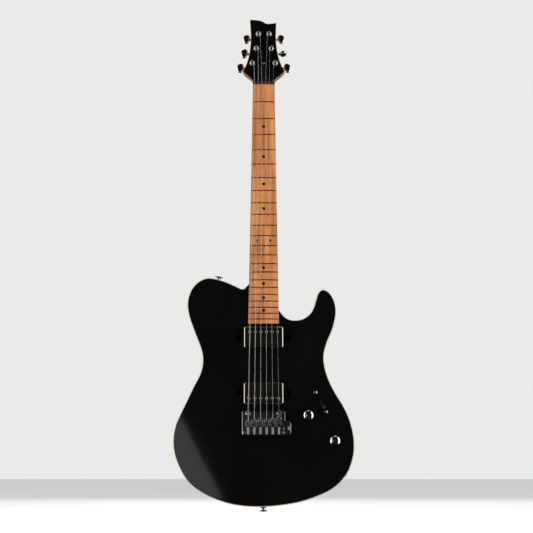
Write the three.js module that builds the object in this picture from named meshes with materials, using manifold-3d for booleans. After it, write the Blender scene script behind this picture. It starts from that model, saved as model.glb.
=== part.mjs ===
// Electric guitar with a single cutaway, a bolt-on neck and a two-post vibrato bridge.
// Millimetres. +Z runs up the neck, the front faces -Y and the treble side is +X.
// The origin is the middle of the nut, on the plane where the fretboard is glued to the neck.
import * as THREE from "three";
import { mergeVertices } from "three/addons/utils/BufferGeometryUtils.js";
import Module from "manifold-3d";

const wasm = await Module();
wasm.setup();

// ---------------------------------------------------------------- driving dimensions
const SCALE = 628.65; // nut to the theoretical bridge line
const FRETS = 22;
const STRINGS = 6;
const GAP = 0.3; // between parts that touch
const SEAT = 0.1; // between parts glued face to face
const SPARE = 1; // how far a cutting tool runs past the face that it cuts

const NUT = { width: 41.8, length: 5, spread: 35.6, lift: 0.5, front: 8.4 };
const BOARD = { thickness: 6, endWidth: 56.6, overhang: 8.2 };
const FRET = { height: 1.1, width: 2.4, buried: 0.8, inset: 0.4 };
const NECK = { depthAtNut: 15, depthAtHeel: 17.5, heelDepth: 19, heelStart: 10, boardPastHeel: 4 };
const ROD = { radius: 2.5, nutRadius: 3.6, depth: 6.5, tail: 30, nutFrom: 9, nutTo: 19 };
const ROD_COVER = { foot: 10, head: 7, from: 6, to: 49, thickness: 2, screw: 2.2 };

const HEAD = { tilt: THREE.MathUtils.degToRad(6), thickness: 13, length: 139, halfWidth: 40.5 };
const TUNER = {
  first: 45.6, // from the nut to the lowest pair of posts
  pitch: 30.9,
  inset: [22.1, 14.4, 10.2], // post to centre line, from the lowest pair up
  splay: THREE.MathUtils.degToRad(7), // the shafts stand square to the tapering sides
  postRadius: 3,
  postHeight: 9.5,
  wrapRadius: 3.8,
  bushingRadius: 4.9,
  washerRadius: 7.2,
  washerHeight: 2.4,
  wormOffset: 4.8,
  wormDepth: 4.5, // behind the back of the headstock
  shaftRadius: 1.4,
  reach: 23, // post to the middle of the button
  caseDepth: 9.5,
  caseHalf: 8,
  caseBelow: 9.5,
  caseAbove: 8,
  snoutRadius: 3,
  snoutReach: 13,
  fit: 0.35, // round the post and the shaft
  stringEntry: 5.2, // ahead of the headstock's face
  bevel: 1.2,
  buttonWide: 13.6,
  buttonTall: 19.6,
  buttonThick: 6.4,
};

const BODY = { width: 329.8, length: 417.5, thickness: 44, front: 2.5, topThickness: 6.35 };
const JOIN = 75; // from the body's edge at the neck to the end of the fretboard
const POCKET_FIT = 0.3;
const PICKUP = {
  width: 72,
  height: 38.6,
  wall: 1,
  corner: 3,
  depth: 19,
  fit: 0.7,
  skirt: 14, // how far the cover reaches behind the body's front
  base: 1.7,
  earReach: 49,
  earHeight: 12,
};
const POLE = { radius: 2.4, fit: 0.4, proud: 0.5 };
const NECK_PICKUP = { fromBoard: 25.4, poleRow: -9.8, spread: 50.9, front: 6.5 };
const BRIDGE_PICKUP = { fromScale: 40.1, poleRow: 9.2, spread: 53.9, front: 7.6 };

const BRIDGE = {
  studAhead: 4, // studs to the theoretical bridge line
  studSpread: 56.8,
  studRadius: 4.6,
  waist: 2.6,
  insertRadius: 5.5,
  insertDepth: 22,
  spread: 55.8, // first string to sixth at the saddles
  saddleTop: 11,
  float: 3.5, // plate above the body
  plate: 3,
  plateHalf: 39,
  plateAhead: 3.4,
  plateLength: 43.4,
  ledgeStart: 16,
  flange: 1.6,
  flangeRise: 3.6,
  knife: 0.5, // room round the stud in its notch
};
const ARM = { collar: 6.4, hole: 3.4, rise: 5, margin: 8.9, behind: 31 };
const SADDLE = { length: 24, sheet: 1.4, setback: [2.5, 5, 6.8, 6, 7.8, 9.2] };
const BLOCK = { behindStuds: 11.8, thickness: 12, depth: 36, halfWidth: 34, fit: 2.5 };
const SPRING = { radius: 3.5, spacing: 26, length: 92, clawHalf: 30, clawScrew: 22 };
const SWING = { ahead: 3.2, behind: 10 }; // room for the block's swing

const COVER = { thickness: 2, sunk: 0.2, lip: 7 };
const KNOB = { radius: 9.8, height: 16.5, floor: 1.1, bore: 12.5 };
const POT = { radius: 12, depth: 10, bushing: 3.8, shaft: 3 };
const VOLUME = { fromEdge: 83.5 }; // from the treble edge, on the bridge line
const TONE = { fromEdge: 35.8, below: 45.8 }; // from the treble edge and the bridge line
const SWITCH = {
  fromEdge: 60.6,
  above: 24.4,
  turn: THREE.MathUtils.degToRad(-28.4),
  throw: THREE.MathUtils.degToRad(26),
  pivot: 12, // behind the body's front
  tip: 14, // ahead of the body's front
  screws: 40,
  screwHole: 1.7,
  slot: 26,
  slotHalf: 1.6,
  bladeHalf: 0.6,
  bladeWidth: 4.8,
  hub: 3.6,
  pin: 1,
  frameHalf: 6,
  sheet: 1.4,
};
const CAVITY_FLOOR = 7.7; // wood left in front of the control cavity
const JACK = { along: 0.372, radius: 10, bore: 5, length: 34, barrel: 8, flange: 1.5 };
const STRAP = { radius: 7.6, neck: 4, height: 9, screw: 2, screwLength: 24 };
const PLATE = { width: 44, length: 60, thickness: 3, bolt: 2.3, boltX: 16, boltZ: 23 };

// String radii from the first string to the sixth.
const GAUGES = [0.125, 0.165, 0.215, 0.33, 0.455, 0.585];
const rows = [...GAUGES.keys()];

// ---------------------------------------------------------------- derived places
const fretAt = (n) => SCALE * (1 - 2 ** (-n / 12));
const boardEnd = fretAt(FRETS) + BOARD.overhang;
const boardHalf = (d) => (NUT.width + ((BOARD.endWidth - NUT.width) * d) / boardEnd) / 2;
const heelEnd = boardEnd - NECK.boardPastHeel;
const joinAt = boardEnd - JOIN; // where the body starts, down from the nut
const boardTop = -BOARD.thickness;
const crown = boardTop - FRET.height;
const bodyBack = BODY.front + BODY.thickness;
const edgeX = BODY.width / 2;
const studAt = SCALE - BRIDGE.studAhead;
const plateBack = BODY.front - BRIDGE.float;
const plateFront = plateBack - BRIDGE.plate;
const stringShare = (i) => 0.5 - i / (STRINGS - 1); // first string +0.5, sixth string -0.5
const nutX = (i) => NUT.spread * stringShare(i);
const saddleX = (i) => BRIDGE.spread * stringShare(i);
const saddleAt = (i) => SCALE + SADDLE.setback[i];
const collarX = BLOCK.halfWidth + ARM.collar + GAP; // the arm stands just outside the block
const controls = {
  volume: [edgeX - VOLUME.fromEdge, -SCALE],
  tone: [edgeX - TONE.fromEdge, -SCALE - TONE.below],
  blade: [edgeX - SWITCH.fromEdge, -SCALE + SWITCH.above],
};

// ---------------------------------------------------------------- finishes
const FINISH = {
  black: { color: 0x0a0a0b, roughness: 0.12, metalness: 0 },
  body: { color: 0x0c0b0b, roughness: 0.15, metalness: 0 },
  maple: { color: 0xa8622c, roughness: 0.4, metalness: 0 },
  board: { color: 0xb5662b, roughness: 0.45, metalness: 0 },
  bone: { color: 0x1a1a1a, roughness: 0.4, metalness: 0 },
  chrome: { color: 0xd8d8d8, roughness: 0.08, metalness: 1 },
  steel: { color: 0xa9a9a8, roughness: 0.3, metalness: 1 },
  plastic: { color: 0x101010, roughness: 0.35, metalness: 0 },
  string: { color: 0xb8b4ac, roughness: 0.35, metalness: 1 },
};

// ---------------------------------------------------------------- solids
function solid(geometry) {
  const bare = geometry.index ? geometry.toNonIndexed() : geometry.clone();
  bare.deleteAttribute("normal");
  bare.deleteAttribute("uv");
  const merged = mergeVertices(bare, 1e-4);
  const triVerts = new Uint32Array(merged.index.array);
  const vertProperties = merged.attributes.position.array;
  return new wasm.Manifold(new wasm.Mesh({ numProp: 3, vertProperties, triVerts }));
}

function geometryOf(body) {
  const mesh = body.getMesh();
  const geometry = new THREE.BufferGeometry();
  geometry.setAttribute("position", new THREE.BufferAttribute(mesh.vertProperties, 3));
  geometry.setIndex(new THREE.BufferAttribute(mesh.triVerts, 1));
  geometry.computeVertexNormals();
  return geometry;
}

const joined = (bodies) => bodies.reduce((whole, body) => whole.add(body));
const cutBy = (body, tools) => tools.reduce((left, tool) => left.subtract(tool), body);

// A flat piece whose outline is drawn in X and Z, from its front face to its back face.
function slab(shape, front, back, curveSegments = 6) {
  const options = { depth: back - front, bevelEnabled: false, curveSegments };
  const geometry = new THREE.ExtrudeGeometry(shape, options);
  return solid(geometry.rotateX(Math.PI / 2).translate(0, back, 0));
}

// A box given by its low and high corners.
function brick(low, high) {
  const size = high.map((v, k) => v - low[k]);
  const middle = high.map((v, k) => (v + low[k]) / 2);
  return solid(new THREE.BoxGeometry(...size).translate(...middle));
}

function rod(from, to, radius, sides = 10) {
  const start = new THREE.Vector3(...from);
  const along = new THREE.Vector3(...to).sub(start);
  const turn = new THREE.Quaternion().setFromUnitVectors(
    new THREE.Vector3(0, 1, 0),
    along.clone().normalize(),
  );
  const geometry = new THREE.CylinderGeometry(radius, radius, along.length(), sides);
  const middle = start.addScaledVector(along, 0.5);
  return solid(geometry.applyQuaternion(turn).translate(...middle));
}

// A turned piece about the Y axis, from [radius, y] points that run towards +Y.
const turned = (profile, sides = 16) =>
  solid(new THREE.LatheGeometry(profile.map((p) => new THREE.Vector2(...p)), sides));

function polygon(points) {
  const shape = new THREE.Shape();
  shape.setFromPoints(points.map((p) => new THREE.Vector2(...p)));
  return shape;
}

// A polygon with its corners rounded, as far as the sides beside each one allow.
function roundedPolygon(points, radius) {
  const shape = new THREE.Shape();
  points.forEach((point, k) => {
    const corner = new THREE.Vector2(...point);
    const [before, after] = [points.at(k - 1), points[(k + 1) % points.length]].map((other) => {
      const side = new THREE.Vector2(...other).sub(corner);
      return side.setLength(Math.min(radius, side.length() * 0.45)).add(corner);
    });
    if (k === 0) shape.moveTo(before.x, before.y);
    else shape.lineTo(before.x, before.y);
    shape.quadraticCurveTo(corner.x, corner.y, after.x, after.y);
  });
  return shape;
}

const oblong = (x0, z0, x1, z1, radius) =>
  roundedPolygon([[x0, z0], [x1, z0], [x1, z1], [x0, z1]], radius);

const guitar = new THREE.Group();

function addPart(name, body, finish, parent = guitar) {
  const mesh = new THREE.Mesh(geometryOf(body), new THREE.MeshStandardMaterial(finish));
  mesh.name = name;
  parent.add(mesh);
}

function subgroup(x, y, z, parent = guitar) {
  const group = new THREE.Group();
  group.position.set(x, y, z);
  parent.add(group);
  return group;
}

// ---------------------------------------------------------------- body
// Stations round the body from the cutaway to the bass shoulder: hundredths of its width from
// the centre line, and hundredths of its length down from the shoulder.
const STATIONS = [
  [8.9, 14.5], [11.6, 17.2], [15, 18.7], [18.4, 18.9], [22.2, 18.2], [26, 16], [28.3, 12.7],
  [29.7, 8.8], [31, 6.4], [33.3, 5.2], [36.3, 6.1], [39, 8.8], [40.6, 13], [40.6, 16.7],
  [38.8, 22.7], [35.7, 28.6], [33.8, 34], [33.9, 38.2], [35.5, 43.5], [39.2, 50],
  [45.1, 57.9], [48.6, 65], [50.1, 73], [49.2, 79.5], [45.8, 86], [39, 91.7], [30, 95.4],
  [18, 98.3], [0, 100], [-14, 99.4], [-24.2, 97.4], [-33.1, 94.3], [-40.9, 89.8],
  [-45.8, 84], [-49, 77.7], [-49.9, 71.5], [-48.8, 65.5], [-46.2, 60.4], [-42.6, 54.4],
  [-38.9, 48.2], [-35.2, 42.3], [-34, 37.5], [-34.6, 33], [-39.2, 23.3], [-41.9, 17.2],
  [-42.9, 12.7], [-42.4, 8.5], [-40.2, 4.5], [-36.5, 1.5], [-31.9, 0], [-28.1, 0.2],
  [-22, 1.5], [-15.8, 3.6], [-11.6, 4.9], [-8.6, 2.7],
];
const shoulderAt = joinAt - 11;

function bodyCurve() {
  const place = ([u, v]) =>
    new THREE.Vector3((u * BODY.width) / 100, -shoulderAt - (v * BODY.length) / 100, 0);
  return new THREE.CatmullRomCurve3(STATIONS.map(place), false, "centripetal");
}

// The outline runs round the curve, then straight across the tongue of wood under the neck.
function bodyShape() {
  const tongue = PLATE.width / 2 + 4;
  const edge = bodyCurve().getSpacedPoints(96).map((p) => [p.x, p.y]);
  const under = [[-tongue, -joinAt - 1.5], [tongue, -joinAt - 1.5], [tongue, edge[0][1] - 3]];
  return polygon([...edge, ...under]);
}

// Where a piece stands on the body's side: its point, and its outward direction in X and Z.
function edgeStation(share) {
  const point = bodyCurve().getPointAt(share);
  const along = bodyCurve().getTangentAt(share);
  return { x: point.x, z: point.y, outX: -along.y, outZ: along.x };
}

const middleY = BODY.front + BODY.thickness / 2;
const blockTop = studAt + BLOCK.behindStuds;
const slotTop = blockTop - SWING.ahead;
const slotFoot = blockTop + BLOCK.thickness + SWING.behind;
const springTop = blockTop - SPRING.length - 30;
const springY = BODY.front + BLOCK.depth - SPRING.radius - BLOCK.fit;

function neckPocket() {
  const half = (d) => boardHalf(d) + POCKET_FIT;
  const ends = [joinAt - 20, heelEnd + POCKET_FIT];
  const outline = [
    [-half(ends[0]), -ends[0]],
    [half(ends[0]), -ends[0]],
    [half(ends[1]), -ends[1]],
    [-half(ends[1]), -ends[1]],
  ];
  return slab(polygon(outline), -SPARE, NECK.heelDepth + POCKET_FIT);
}

function pickupWell(centre) {
  const x = PICKUP.width / 2 + PICKUP.fit;
  const z = PICKUP.height / 2 + PICKUP.fit;
  const floor = BODY.front + PICKUP.depth;
  const well = brick([-x, 0, -centre - z], [x, floor, -centre + z]);
  const ear = PICKUP.earReach + PICKUP.fit;
  const earZ = PICKUP.earHeight / 2 + PICKUP.fit;
  return well.add(brick([-ear, 0, -centre - earZ], [ear, floor, -centre + earZ]));
}

const neckPickupAt = boardEnd + NECK_PICKUP.fromBoard;
const bridgePickupAt = SCALE - BRIDGE_PICKUP.fromScale;

function bridgeRoute() {
  const x = BLOCK.halfWidth + BLOCK.fit;
  const through = slab(oblong(-x, -slotFoot, x, -slotTop, 5), 0, bodyBack + SPARE, 3);
  const springs = oblong(-32, -slotTop - 2, 32, -springTop, 5);
  return through.add(slab(springs, springY - SPRING.radius - 1.2, bodyBack + SPARE, 3));
}

const bridgeCoverShape = (clearance) =>
  oblong(
    -BLOCK.halfWidth - BLOCK.fit - COVER.lip - clearance,
    -slotFoot - COVER.lip - clearance,
    BLOCK.halfWidth + BLOCK.fit + COVER.lip + clearance,
    -springTop + COVER.lip + clearance,
    6,
  );

// The control cavity wraps the pots, the blade switch and the inner end of the jack.
function controlShape(grow) {
  const [vx, vz] = controls.volume;
  const [tx, tz] = controls.tone;
  const [bx, bz] = controls.blade;
  const corners = [
    [vx - 19 - grow, vz + 14],
    [bx - 20 - grow * 0.4, bz + 27 + grow],
    [bx + 6 + grow * 0.4, bz + 27 + grow],
    [tx + 17 + grow, tz + 6],
    [tx + 9 + grow * 0.7, tz - 28 - grow],
    [vx + 16 - grow * 0.4, tz - 28 - grow],
  ];
  return roundedPolygon(corners, 14);
}

function jackBore(radius, from, to) {
  const at = edgeStation(JACK.along);
  const point = (reach) => [at.x + at.outX * reach, middleY, at.z + at.outZ * reach];
  return rod(point(from), point(to), radius, 16);
}

function controlHoles() {
  const cuts = ["volume", "tone"].map((key) => {
    const [x, z] = controls[key];
    return rod([x, 0, z], [x, bodyBack, z], POT.bushing + GAP, 12);
  });
  const [x, z] = controls.blade;
  const floor = BODY.front + CAVITY_FLOOR + SPARE;
  const slot = brick([-SWITCH.slotHalf, 0, -SWITCH.slot / 2], [SWITCH.slotHalf, floor, SWITCH.slot / 2]);
  const screws = [-1, 1].map((side) => {
    const reach = (side * SWITCH.screws) / 2;
    return rod([0, 0, reach], [0, floor, reach], SWITCH.screwHole, 8);
  });
  const turn = THREE.MathUtils.radToDeg(SWITCH.turn);
  const group = joined([slot, ...screws].map((body) => body.rotate([0, turn, 0]).translate([x, 0, z])));
  return [...cuts, group];
}

const studHoles = () =>
  [-1, 1].map((side) => {
    const x = (side * BRIDGE.studSpread) / 2;
    const foot = BODY.front + BRIDGE.insertDepth + GAP;
    return rod([x, 0, -studAt], [x, foot, -studAt], BRIDGE.insertRadius + GAP, 12);
  });

const boltPlaces = [-1, 1].flatMap((sx) =>
  [-1, 1].map((sz) => [sx * PLATE.boltX, -(joinAt + 4 + PLATE.length / 2) + sz * PLATE.boltZ]),
);
const neckPlateShape = (clearance) =>
  oblong(
    -PLATE.width / 2 - clearance,
    -joinAt - 4 - PLATE.length - clearance,
    PLATE.width / 2 + clearance,
    -joinAt - 4 + clearance,
    4,
  );

const strapButtons = [
  { name: "strap_button_upper", share: 0.95 },
  { name: "strap_button_lower", share: 0.5035 },
];

function strapHole({ share }) {
  const at = edgeStation(share);
  const inside = STRAP.screwLength + 1;
  const end = [at.x - at.outX * inside, middleY, at.z - at.outZ * inside];
  return rod([at.x + at.outX, middleY, at.z + at.outZ], end, STRAP.screw + GAP, 8);
}

function clawHoles() {
  return [-1, 1].map((side) => {
    const x = side * SPRING.clawScrew;
    return rod([x, springY, -springTop - 4], [x, springY, -springTop + 16], 2.3, 8);
  });
}

function addBody() {
  const outline = bodyShape();
  const glue = BODY.front + BODY.topThickness;
  const wells = [neckPocket(), pickupWell(neckPickupAt), pickupWell(bridgePickupAt)];
  const shared = [...wells, bridgeRoute(), ...controlHoles(), ...studHoles()];
  const recess = bodyBack - COVER.thickness - COVER.sunk - SEAT;
  const cuts = [
    ...shared,
    slab(controlShape(0), BODY.front + CAVITY_FLOOR, bodyBack + SPARE, 3),
    slab(controlShape(COVER.lip + GAP), recess, bodyBack + SPARE, 3),
    slab(bridgeCoverShape(GAP), recess, bodyBack + SPARE, 3),
    slab(neckPlateShape(GAP), bodyBack - PLATE.thickness - COVER.sunk - SEAT, bodyBack + SPARE, 3),
    ...boltPlaces.map(([x, z]) => rod([x, 0, z], [x, bodyBack, z], PLATE.bolt + GAP, 8)),
    jackBore(JACK.barrel + GAP, 2, -JACK.length - 12),
    jackBore(JACK.radius + GAP, 2, -JACK.flange - GAP),
    ...strapButtons.map(strapHole),
    ...clawHoles(),
  ];
  addPart("body_core", cutBy(slab(outline, glue + SEAT / 2, bodyBack), cuts), FINISH.body);
  addPart("body_top", cutBy(slab(outline, BODY.front, glue - SEAT / 2), shared), FINISH.black);
}

// ---------------------------------------------------------------- neck
// The neck's back is half an oval, drawn one unit wide and deep, then scaled along its length.
function neckShaft() {
  const shape = new THREE.Shape();
  shape.moveTo(-1, 0);
  shape.bezierCurveTo(-0.98, 0.75, -0.55, 1, 0, 1);
  shape.bezierCurveTo(0.55, 1, 0.98, 0.75, 1, 0);
  const length = joinAt + 12 + NUT.length;
  const options = { depth: length, steps: 6, bevelEnabled: false, curveSegments: 6 };
  const geometry = new THREE.ExtrudeGeometry(shape, options).translate(0, 0, NUT.length - length);
  const place = geometry.attributes.position;
  for (let k = 0; k < place.count; k += 1) {
    const down = -place.getZ(k);
    const depth = THREE.MathUtils.lerp(NECK.depthAtNut, NECK.depthAtHeel, down / length);
    place.setX(k, place.getX(k) * boardHalf(down));
    place.setY(k, place.getY(k) * depth);
  }
  return solid(geometry);
}

function neckHeel() {
  const start = joinAt - NECK.heelStart;
  const outline = [
    [-boardHalf(start), -start],
    [boardHalf(start), -start],
    [boardHalf(heelEnd), -heelEnd],
    [-boardHalf(heelEnd), -heelEnd],
  ];
  return slab(polygon(outline), 0, NECK.heelDepth);
}

// The headstock flares from the nut to two ears, then tapers to a stepped top edge.
function headShape() {
  const half = HEAD.halfWidth;
  const top = HEAD.length;
  const root = NUT.width / 2;
  const shape = new THREE.Shape();
  shape.moveTo(-root, 1);
  shape.lineTo(-root, 8);
  shape.bezierCurveTo(-root - 4, 16, -half + 6, 20, -half, 29);
  shape.bezierCurveTo(-half + 9, 44, -25.5, 66, -25, top - 34);
  shape.lineTo(-27, top);
  shape.bezierCurveTo(-16, top - 0.5, -4, top - 1, 1, top - 6);
  shape.bezierCurveTo(5, top - 10, 14, top - 9, 24.5, top - 6.5);
  shape.lineTo(23.5, top - 34);
  shape.bezierCurveTo(24, 66, half - 9, 44, half, 29);
  shape.bezierCurveTo(half - 6, 20, root + 4, 16, root, 8);
  shape.lineTo(root, 1);
  return shape;
}

// Tuner places in the headstock's own frame: the strings 1 to 3 sit on the treble side.
const tuners = rows.map((i) => {
  const side = i < STRINGS / 2 ? 1 : -1;
  const row = side > 0 ? i : STRINGS - 1 - i;
  return { number: i + 1, side, x: side * TUNER.inset[row], z: TUNER.first + row * TUNER.pitch };
});

const inHeadFrame = (body) => body.rotate([-THREE.MathUtils.radToDeg(HEAD.tilt), 0, 0]);

function addNeck() {
  const head = inHeadFrame(slab(headShape(), 0, HEAD.thickness));
  const posts = tuners.map(({ x, z }) =>
    inHeadFrame(rod([x, -1, z], [x, HEAD.thickness + 1, z], TUNER.bushingRadius + GAP, 12)),
  );
  const channelX = ROD.radius + 0.4;
  const floor = ROD.depth + ROD.radius + 0.4;
  const cuts = [
    ...posts,
    brick([-channelX, -2, -heelEnd + ROD.tail - 1], [channelX, floor, 6]),
    inHeadFrame(slab(oblong(-5.5, 5.5, 5.5, 34, 3), -2, 10.4, 3)),
    ...boltPlaces.map(([x, z]) => rod([x, 7, z], [x, 30, z], PLATE.bolt + GAP, 8)),
  ];
  addPart("neck", cutBy(joined([neckShaft(), neckHeel(), head]), cuts), FINISH.maple);
}

function addTrussRod() {
  const y = ROD.depth;
  const bar = rod([0, y, -heelEnd + ROD.tail], [0, y, ROD.nutTo + 2], ROD.radius, 8);
  const nut = rod([0, y, ROD.nutFrom], [0, y, ROD.nutTo], ROD.nutRadius, 6);
  addPart("truss_rod", bar.add(nut), FINISH.steel);
}

function addFretboard() {
  const nearNut = SEAT;
  const outline = [
    [-boardHalf(nearNut), -nearNut],
    [boardHalf(nearNut), -nearNut],
    [boardHalf(boardEnd), -boardEnd],
    [-boardHalf(boardEnd), -boardEnd],
  ];
  const pieces = [slab(polygon(outline), boardTop, -SEAT)];
  for (let n = 1; n <= FRETS; n += 1) {
    const d = fretAt(n);
    const half = boardHalf(d) - FRET.inset;
    const low = [-half, crown, -d - FRET.width / 2];
    pieces.push(brick(low, [half, boardTop + FRET.buried, -d + FRET.width / 2]));
  }
  addPart("fretboard", joined(pieces), FINISH.board);
}

function addNut() {
  const half = NUT.width / 2;
  const bar = brick([-half, -NUT.front, SEAT], [half, -SEAT, NUT.length - SEAT]);
  const slots = GAUGES.map((radius, i) => {
    const side = radius + GAP;
    const floor = crown - NUT.lift + GAP;
    return brick([nutX(i) - side, -20, -1], [nutX(i) + side, floor, NUT.length + 1]);
  });
  addPart("nut", cutBy(bar, slots), FINISH.bone);
}

// ---------------------------------------------------------------- headstock hardware
const head = subgroup(0, 0, 0);
head.rotation.x = -HEAD.tilt;

function tunerCase() {
  const back = HEAD.thickness;
  const rear = back + TUNER.caseDepth;
  const bushing = rod([0, -TUNER.washerHeight, 0], [0, back + 2, 0], TUNER.bushingRadius, 12);
  const washer = rod([0, -TUNER.washerHeight, 0], [0, -SEAT, 0], TUNER.washerRadius, 6);
  const wormY = back + TUNER.wormDepth;
  const wormZ = -TUNER.wormOffset;
  const wide = TUNER.caseHalf;
  const shell = brick([-wide, back + SEAT, -TUNER.caseBelow], [wide, rear, TUNER.caseAbove]);
  const end = TUNER.snoutReach;
  const snout = rod([wide - 1, wormY, wormZ], [end, wormY, wormZ], TUNER.snoutRadius, 8);
  const cuts = [
    rod([0, -TUNER.postHeight, 0], [0, rear - 1.2, 0], TUNER.postRadius + TUNER.fit, 12),
    rod([2 - wide, wormY, wormZ], [end + SPARE, wormY, wormZ], TUNER.shaftRadius + TUNER.fit, 8),
  ];
  return cutBy(joined([bushing, washer, shell, snout]), cuts);
}

// The post stands in the case, with the string's turns round it above the washer.
function tunerPost() {
  const foot = HEAD.thickness + TUNER.caseDepth - 1.6;
  const top = -TUNER.postHeight;
  const wrapTop = -TUNER.postHeight + 2.2;
  const wrapFoot = -TUNER.washerHeight - 0.8;
  return turned([
    [0, top],
    [TUNER.postRadius, top],
    [TUNER.postRadius, wrapTop],
    [TUNER.wrapRadius, wrapTop],
    [TUNER.wrapRadius, wrapFoot],
    [TUNER.postRadius, wrapFoot],
    [TUNER.postRadius, foot],
    [0, foot],
  ], 12);
}

function tunerButton() {
  const wide = TUNER.buttonWide / 2 - TUNER.bevel;
  const tall = TUNER.buttonTall / 2 - TUNER.bevel;
  const shape = new THREE.Shape().absellipse(0, 0, wide, tall, 0, Math.PI * 2);
  const options = {
    depth: TUNER.buttonThick - 2 * TUNER.bevel,
    bevelThickness: TUNER.bevel,
    bevelSize: TUNER.bevel,
    bevelSegments: 1,
    curveSegments: 7,
  };
  const paddle = new THREE.ExtrudeGeometry(shape, options).rotateX(Math.PI / 2);
  const half = TUNER.buttonThick / 2 - TUNER.bevel;
  const shaft = rod([-TUNER.reach - 5, 0, 0], [1 - TUNER.buttonWide / 2, 0, 0], TUNER.shaftRadius, 8);
  return solid(paddle.translate(0, half, 0)).add(shaft);
}

const EDGE_ON = 2; // the second string's button was left turned a quarter

function addTuners() {
  tuners.forEach(({ number, side, x, z }) => {
    const place = subgroup(x, 0, z, head);
    addPart(`tuner_post_${number}`, tunerPost(), FINISH.steel, place);
    const turn = subgroup(0, 0, 0, place);
    turn.rotation.y = side > 0 ? -TUNER.splay : TUNER.splay;
    const sided = side > 0 ? tunerCase() : tunerCase().mirror([1, 0, 0]);
    addPart(`tuner_case_${number}`, sided, FINISH.chrome, turn);
    const worm = subgroup(side * TUNER.reach, HEAD.thickness + TUNER.wormDepth, -TUNER.wormOffset, turn);
    if (number === EDGE_ON) worm.rotation.x = Math.PI / 2;
    const button = side > 0 ? tunerButton() : tunerButton().mirror([1, 0, 0]);
    addPart(`tuner_button_${number}`, button, FINISH.chrome, worm);
  });
}

function addTrussCover() {
  const { foot, head: top, from, to, thickness, screw } = ROD_COVER;
  const outline = roundedPolygon([[-foot, from], [foot, from], [top, to], [-top, to]], 4);
  const plate = slab(outline, -thickness, -SEAT, 3);
  const screwAt = to - screw * 2;
  const fixing = rod([0, -thickness - 0.8, screwAt], [0, -thickness / 2, screwAt], screw, 8);
  addPart("truss_rod_cover", plate.add(fixing), FINISH.plastic, head);
}

// ---------------------------------------------------------------- strings
// Each string runs from just off its post, over the nut, to the front edge of its saddle.
function addStrings() {
  tuners.forEach(({ number, side, x, z }, i) => {
    const gauge = GAUGES[i];
    const offPost = x - side * (TUNER.postRadius + gauge);
    const local = new THREE.Vector3(offPost, -TUNER.stringEntry, z - TUNER.wrapRadius - 1);
    const start = local.applyEuler(new THREE.Euler(-HEAD.tilt, 0, 0));
    const atNut = [nutX(i), crown - NUT.lift - gauge, NUT.length];
    const end = [saddleX(i), -BRIDGE.saddleTop - gauge + 0.4, -saddleAt(i) + GAP];
    const bend = solid(new THREE.IcosahedronGeometry(gauge * 1.04, 0).translate(...atNut));
    const pieces = [rod(start.toArray(), atNut, gauge, 6), rod(atNut, end, gauge, 6), bend];
    addPart(`string_${number}`, joined(pieces), FINISH.string);
  });
}

// ---------------------------------------------------------------- pickups
// A metal cover open at the back, with a hole over each pole.
function pickupCover(front, poles) {
  const x = PICKUP.width / 2;
  const z = PICKUP.height / 2;
  const inX = x - PICKUP.wall;
  const inZ = z - PICKUP.wall;
  const inCorner = PICKUP.corner - PICKUP.wall;
  const shell = slab(oblong(-x, -z, x, z, PICKUP.corner), front, PICKUP.skirt, 3);
  const inside = oblong(-inX, -inZ, inX, inZ, inCorner);
  const hollow = slab(inside, front + PICKUP.wall, PICKUP.skirt + SPARE, 3);
  const bore = POLE.radius + POLE.fit;
  const holes = poles.map((p) => rod([p.x, front - SPARE, p.z], [p.x, 0, p.z], bore, 10));
  return cutBy(shell, [hollow, ...holes]);
}

// Coils, magnet, base plate and pole screws in one piece.
function pickupCoils(front, poles) {
  const x = PICKUP.width / 2 - PICKUP.wall - GAP;
  const z = PICKUP.height / 2 - PICKUP.wall - GAP;
  const inside = oblong(-x, -z, x, z, PICKUP.corner - PICKUP.wall);
  const low = PICKUP.skirt + GAP;
  const high = low + PICKUP.base;
  const coils = slab(inside, front + PICKUP.wall + GAP, high - 0.5, 3);
  const plate = brick([-x, low, -z], [x, high, z]);
  const ears = brick(
    [-PICKUP.earReach, low, -PICKUP.earHeight / 2],
    [PICKUP.earReach, high, PICKUP.earHeight / 2],
  );
  const screws = poles.map((p) => {
    const top = [p.x, front - POLE.proud, p.z];
    return rod(top, [p.x, 12, p.z], POLE.radius, 10);
  });
  return joined([coils, plate, ears, ...screws]);
}

function addPickup(name, at, design) {
  const place = subgroup(0, 0, -at);
  const poles = rows.map((i) => ({ x: design.spread * stringShare(i), z: -design.poleRow }));
  addPart(`pickup_cover_${name}`, pickupCover(-design.front, poles), FINISH.chrome, place);
  addPart(`pickup_coils_${name}`, pickupCoils(-design.front, poles), FINISH.plastic, place);
}

// ---------------------------------------------------------------- bridge
function stud() {
  const top = plateFront - 2.6;
  const under = plateFront - 1;
  const foot = BODY.front + BRIDGE.insertDepth;
  return turned([
    [0, top],
    [BRIDGE.studRadius, top],
    [BRIDGE.studRadius, under],
    [BRIDGE.waist, under],
    [BRIDGE.waist, BODY.front - 0.4],
    [BRIDGE.insertRadius, BODY.front - 0.4],
    [BRIDGE.insertRadius, foot],
    [0, foot],
  ]);
}

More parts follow.
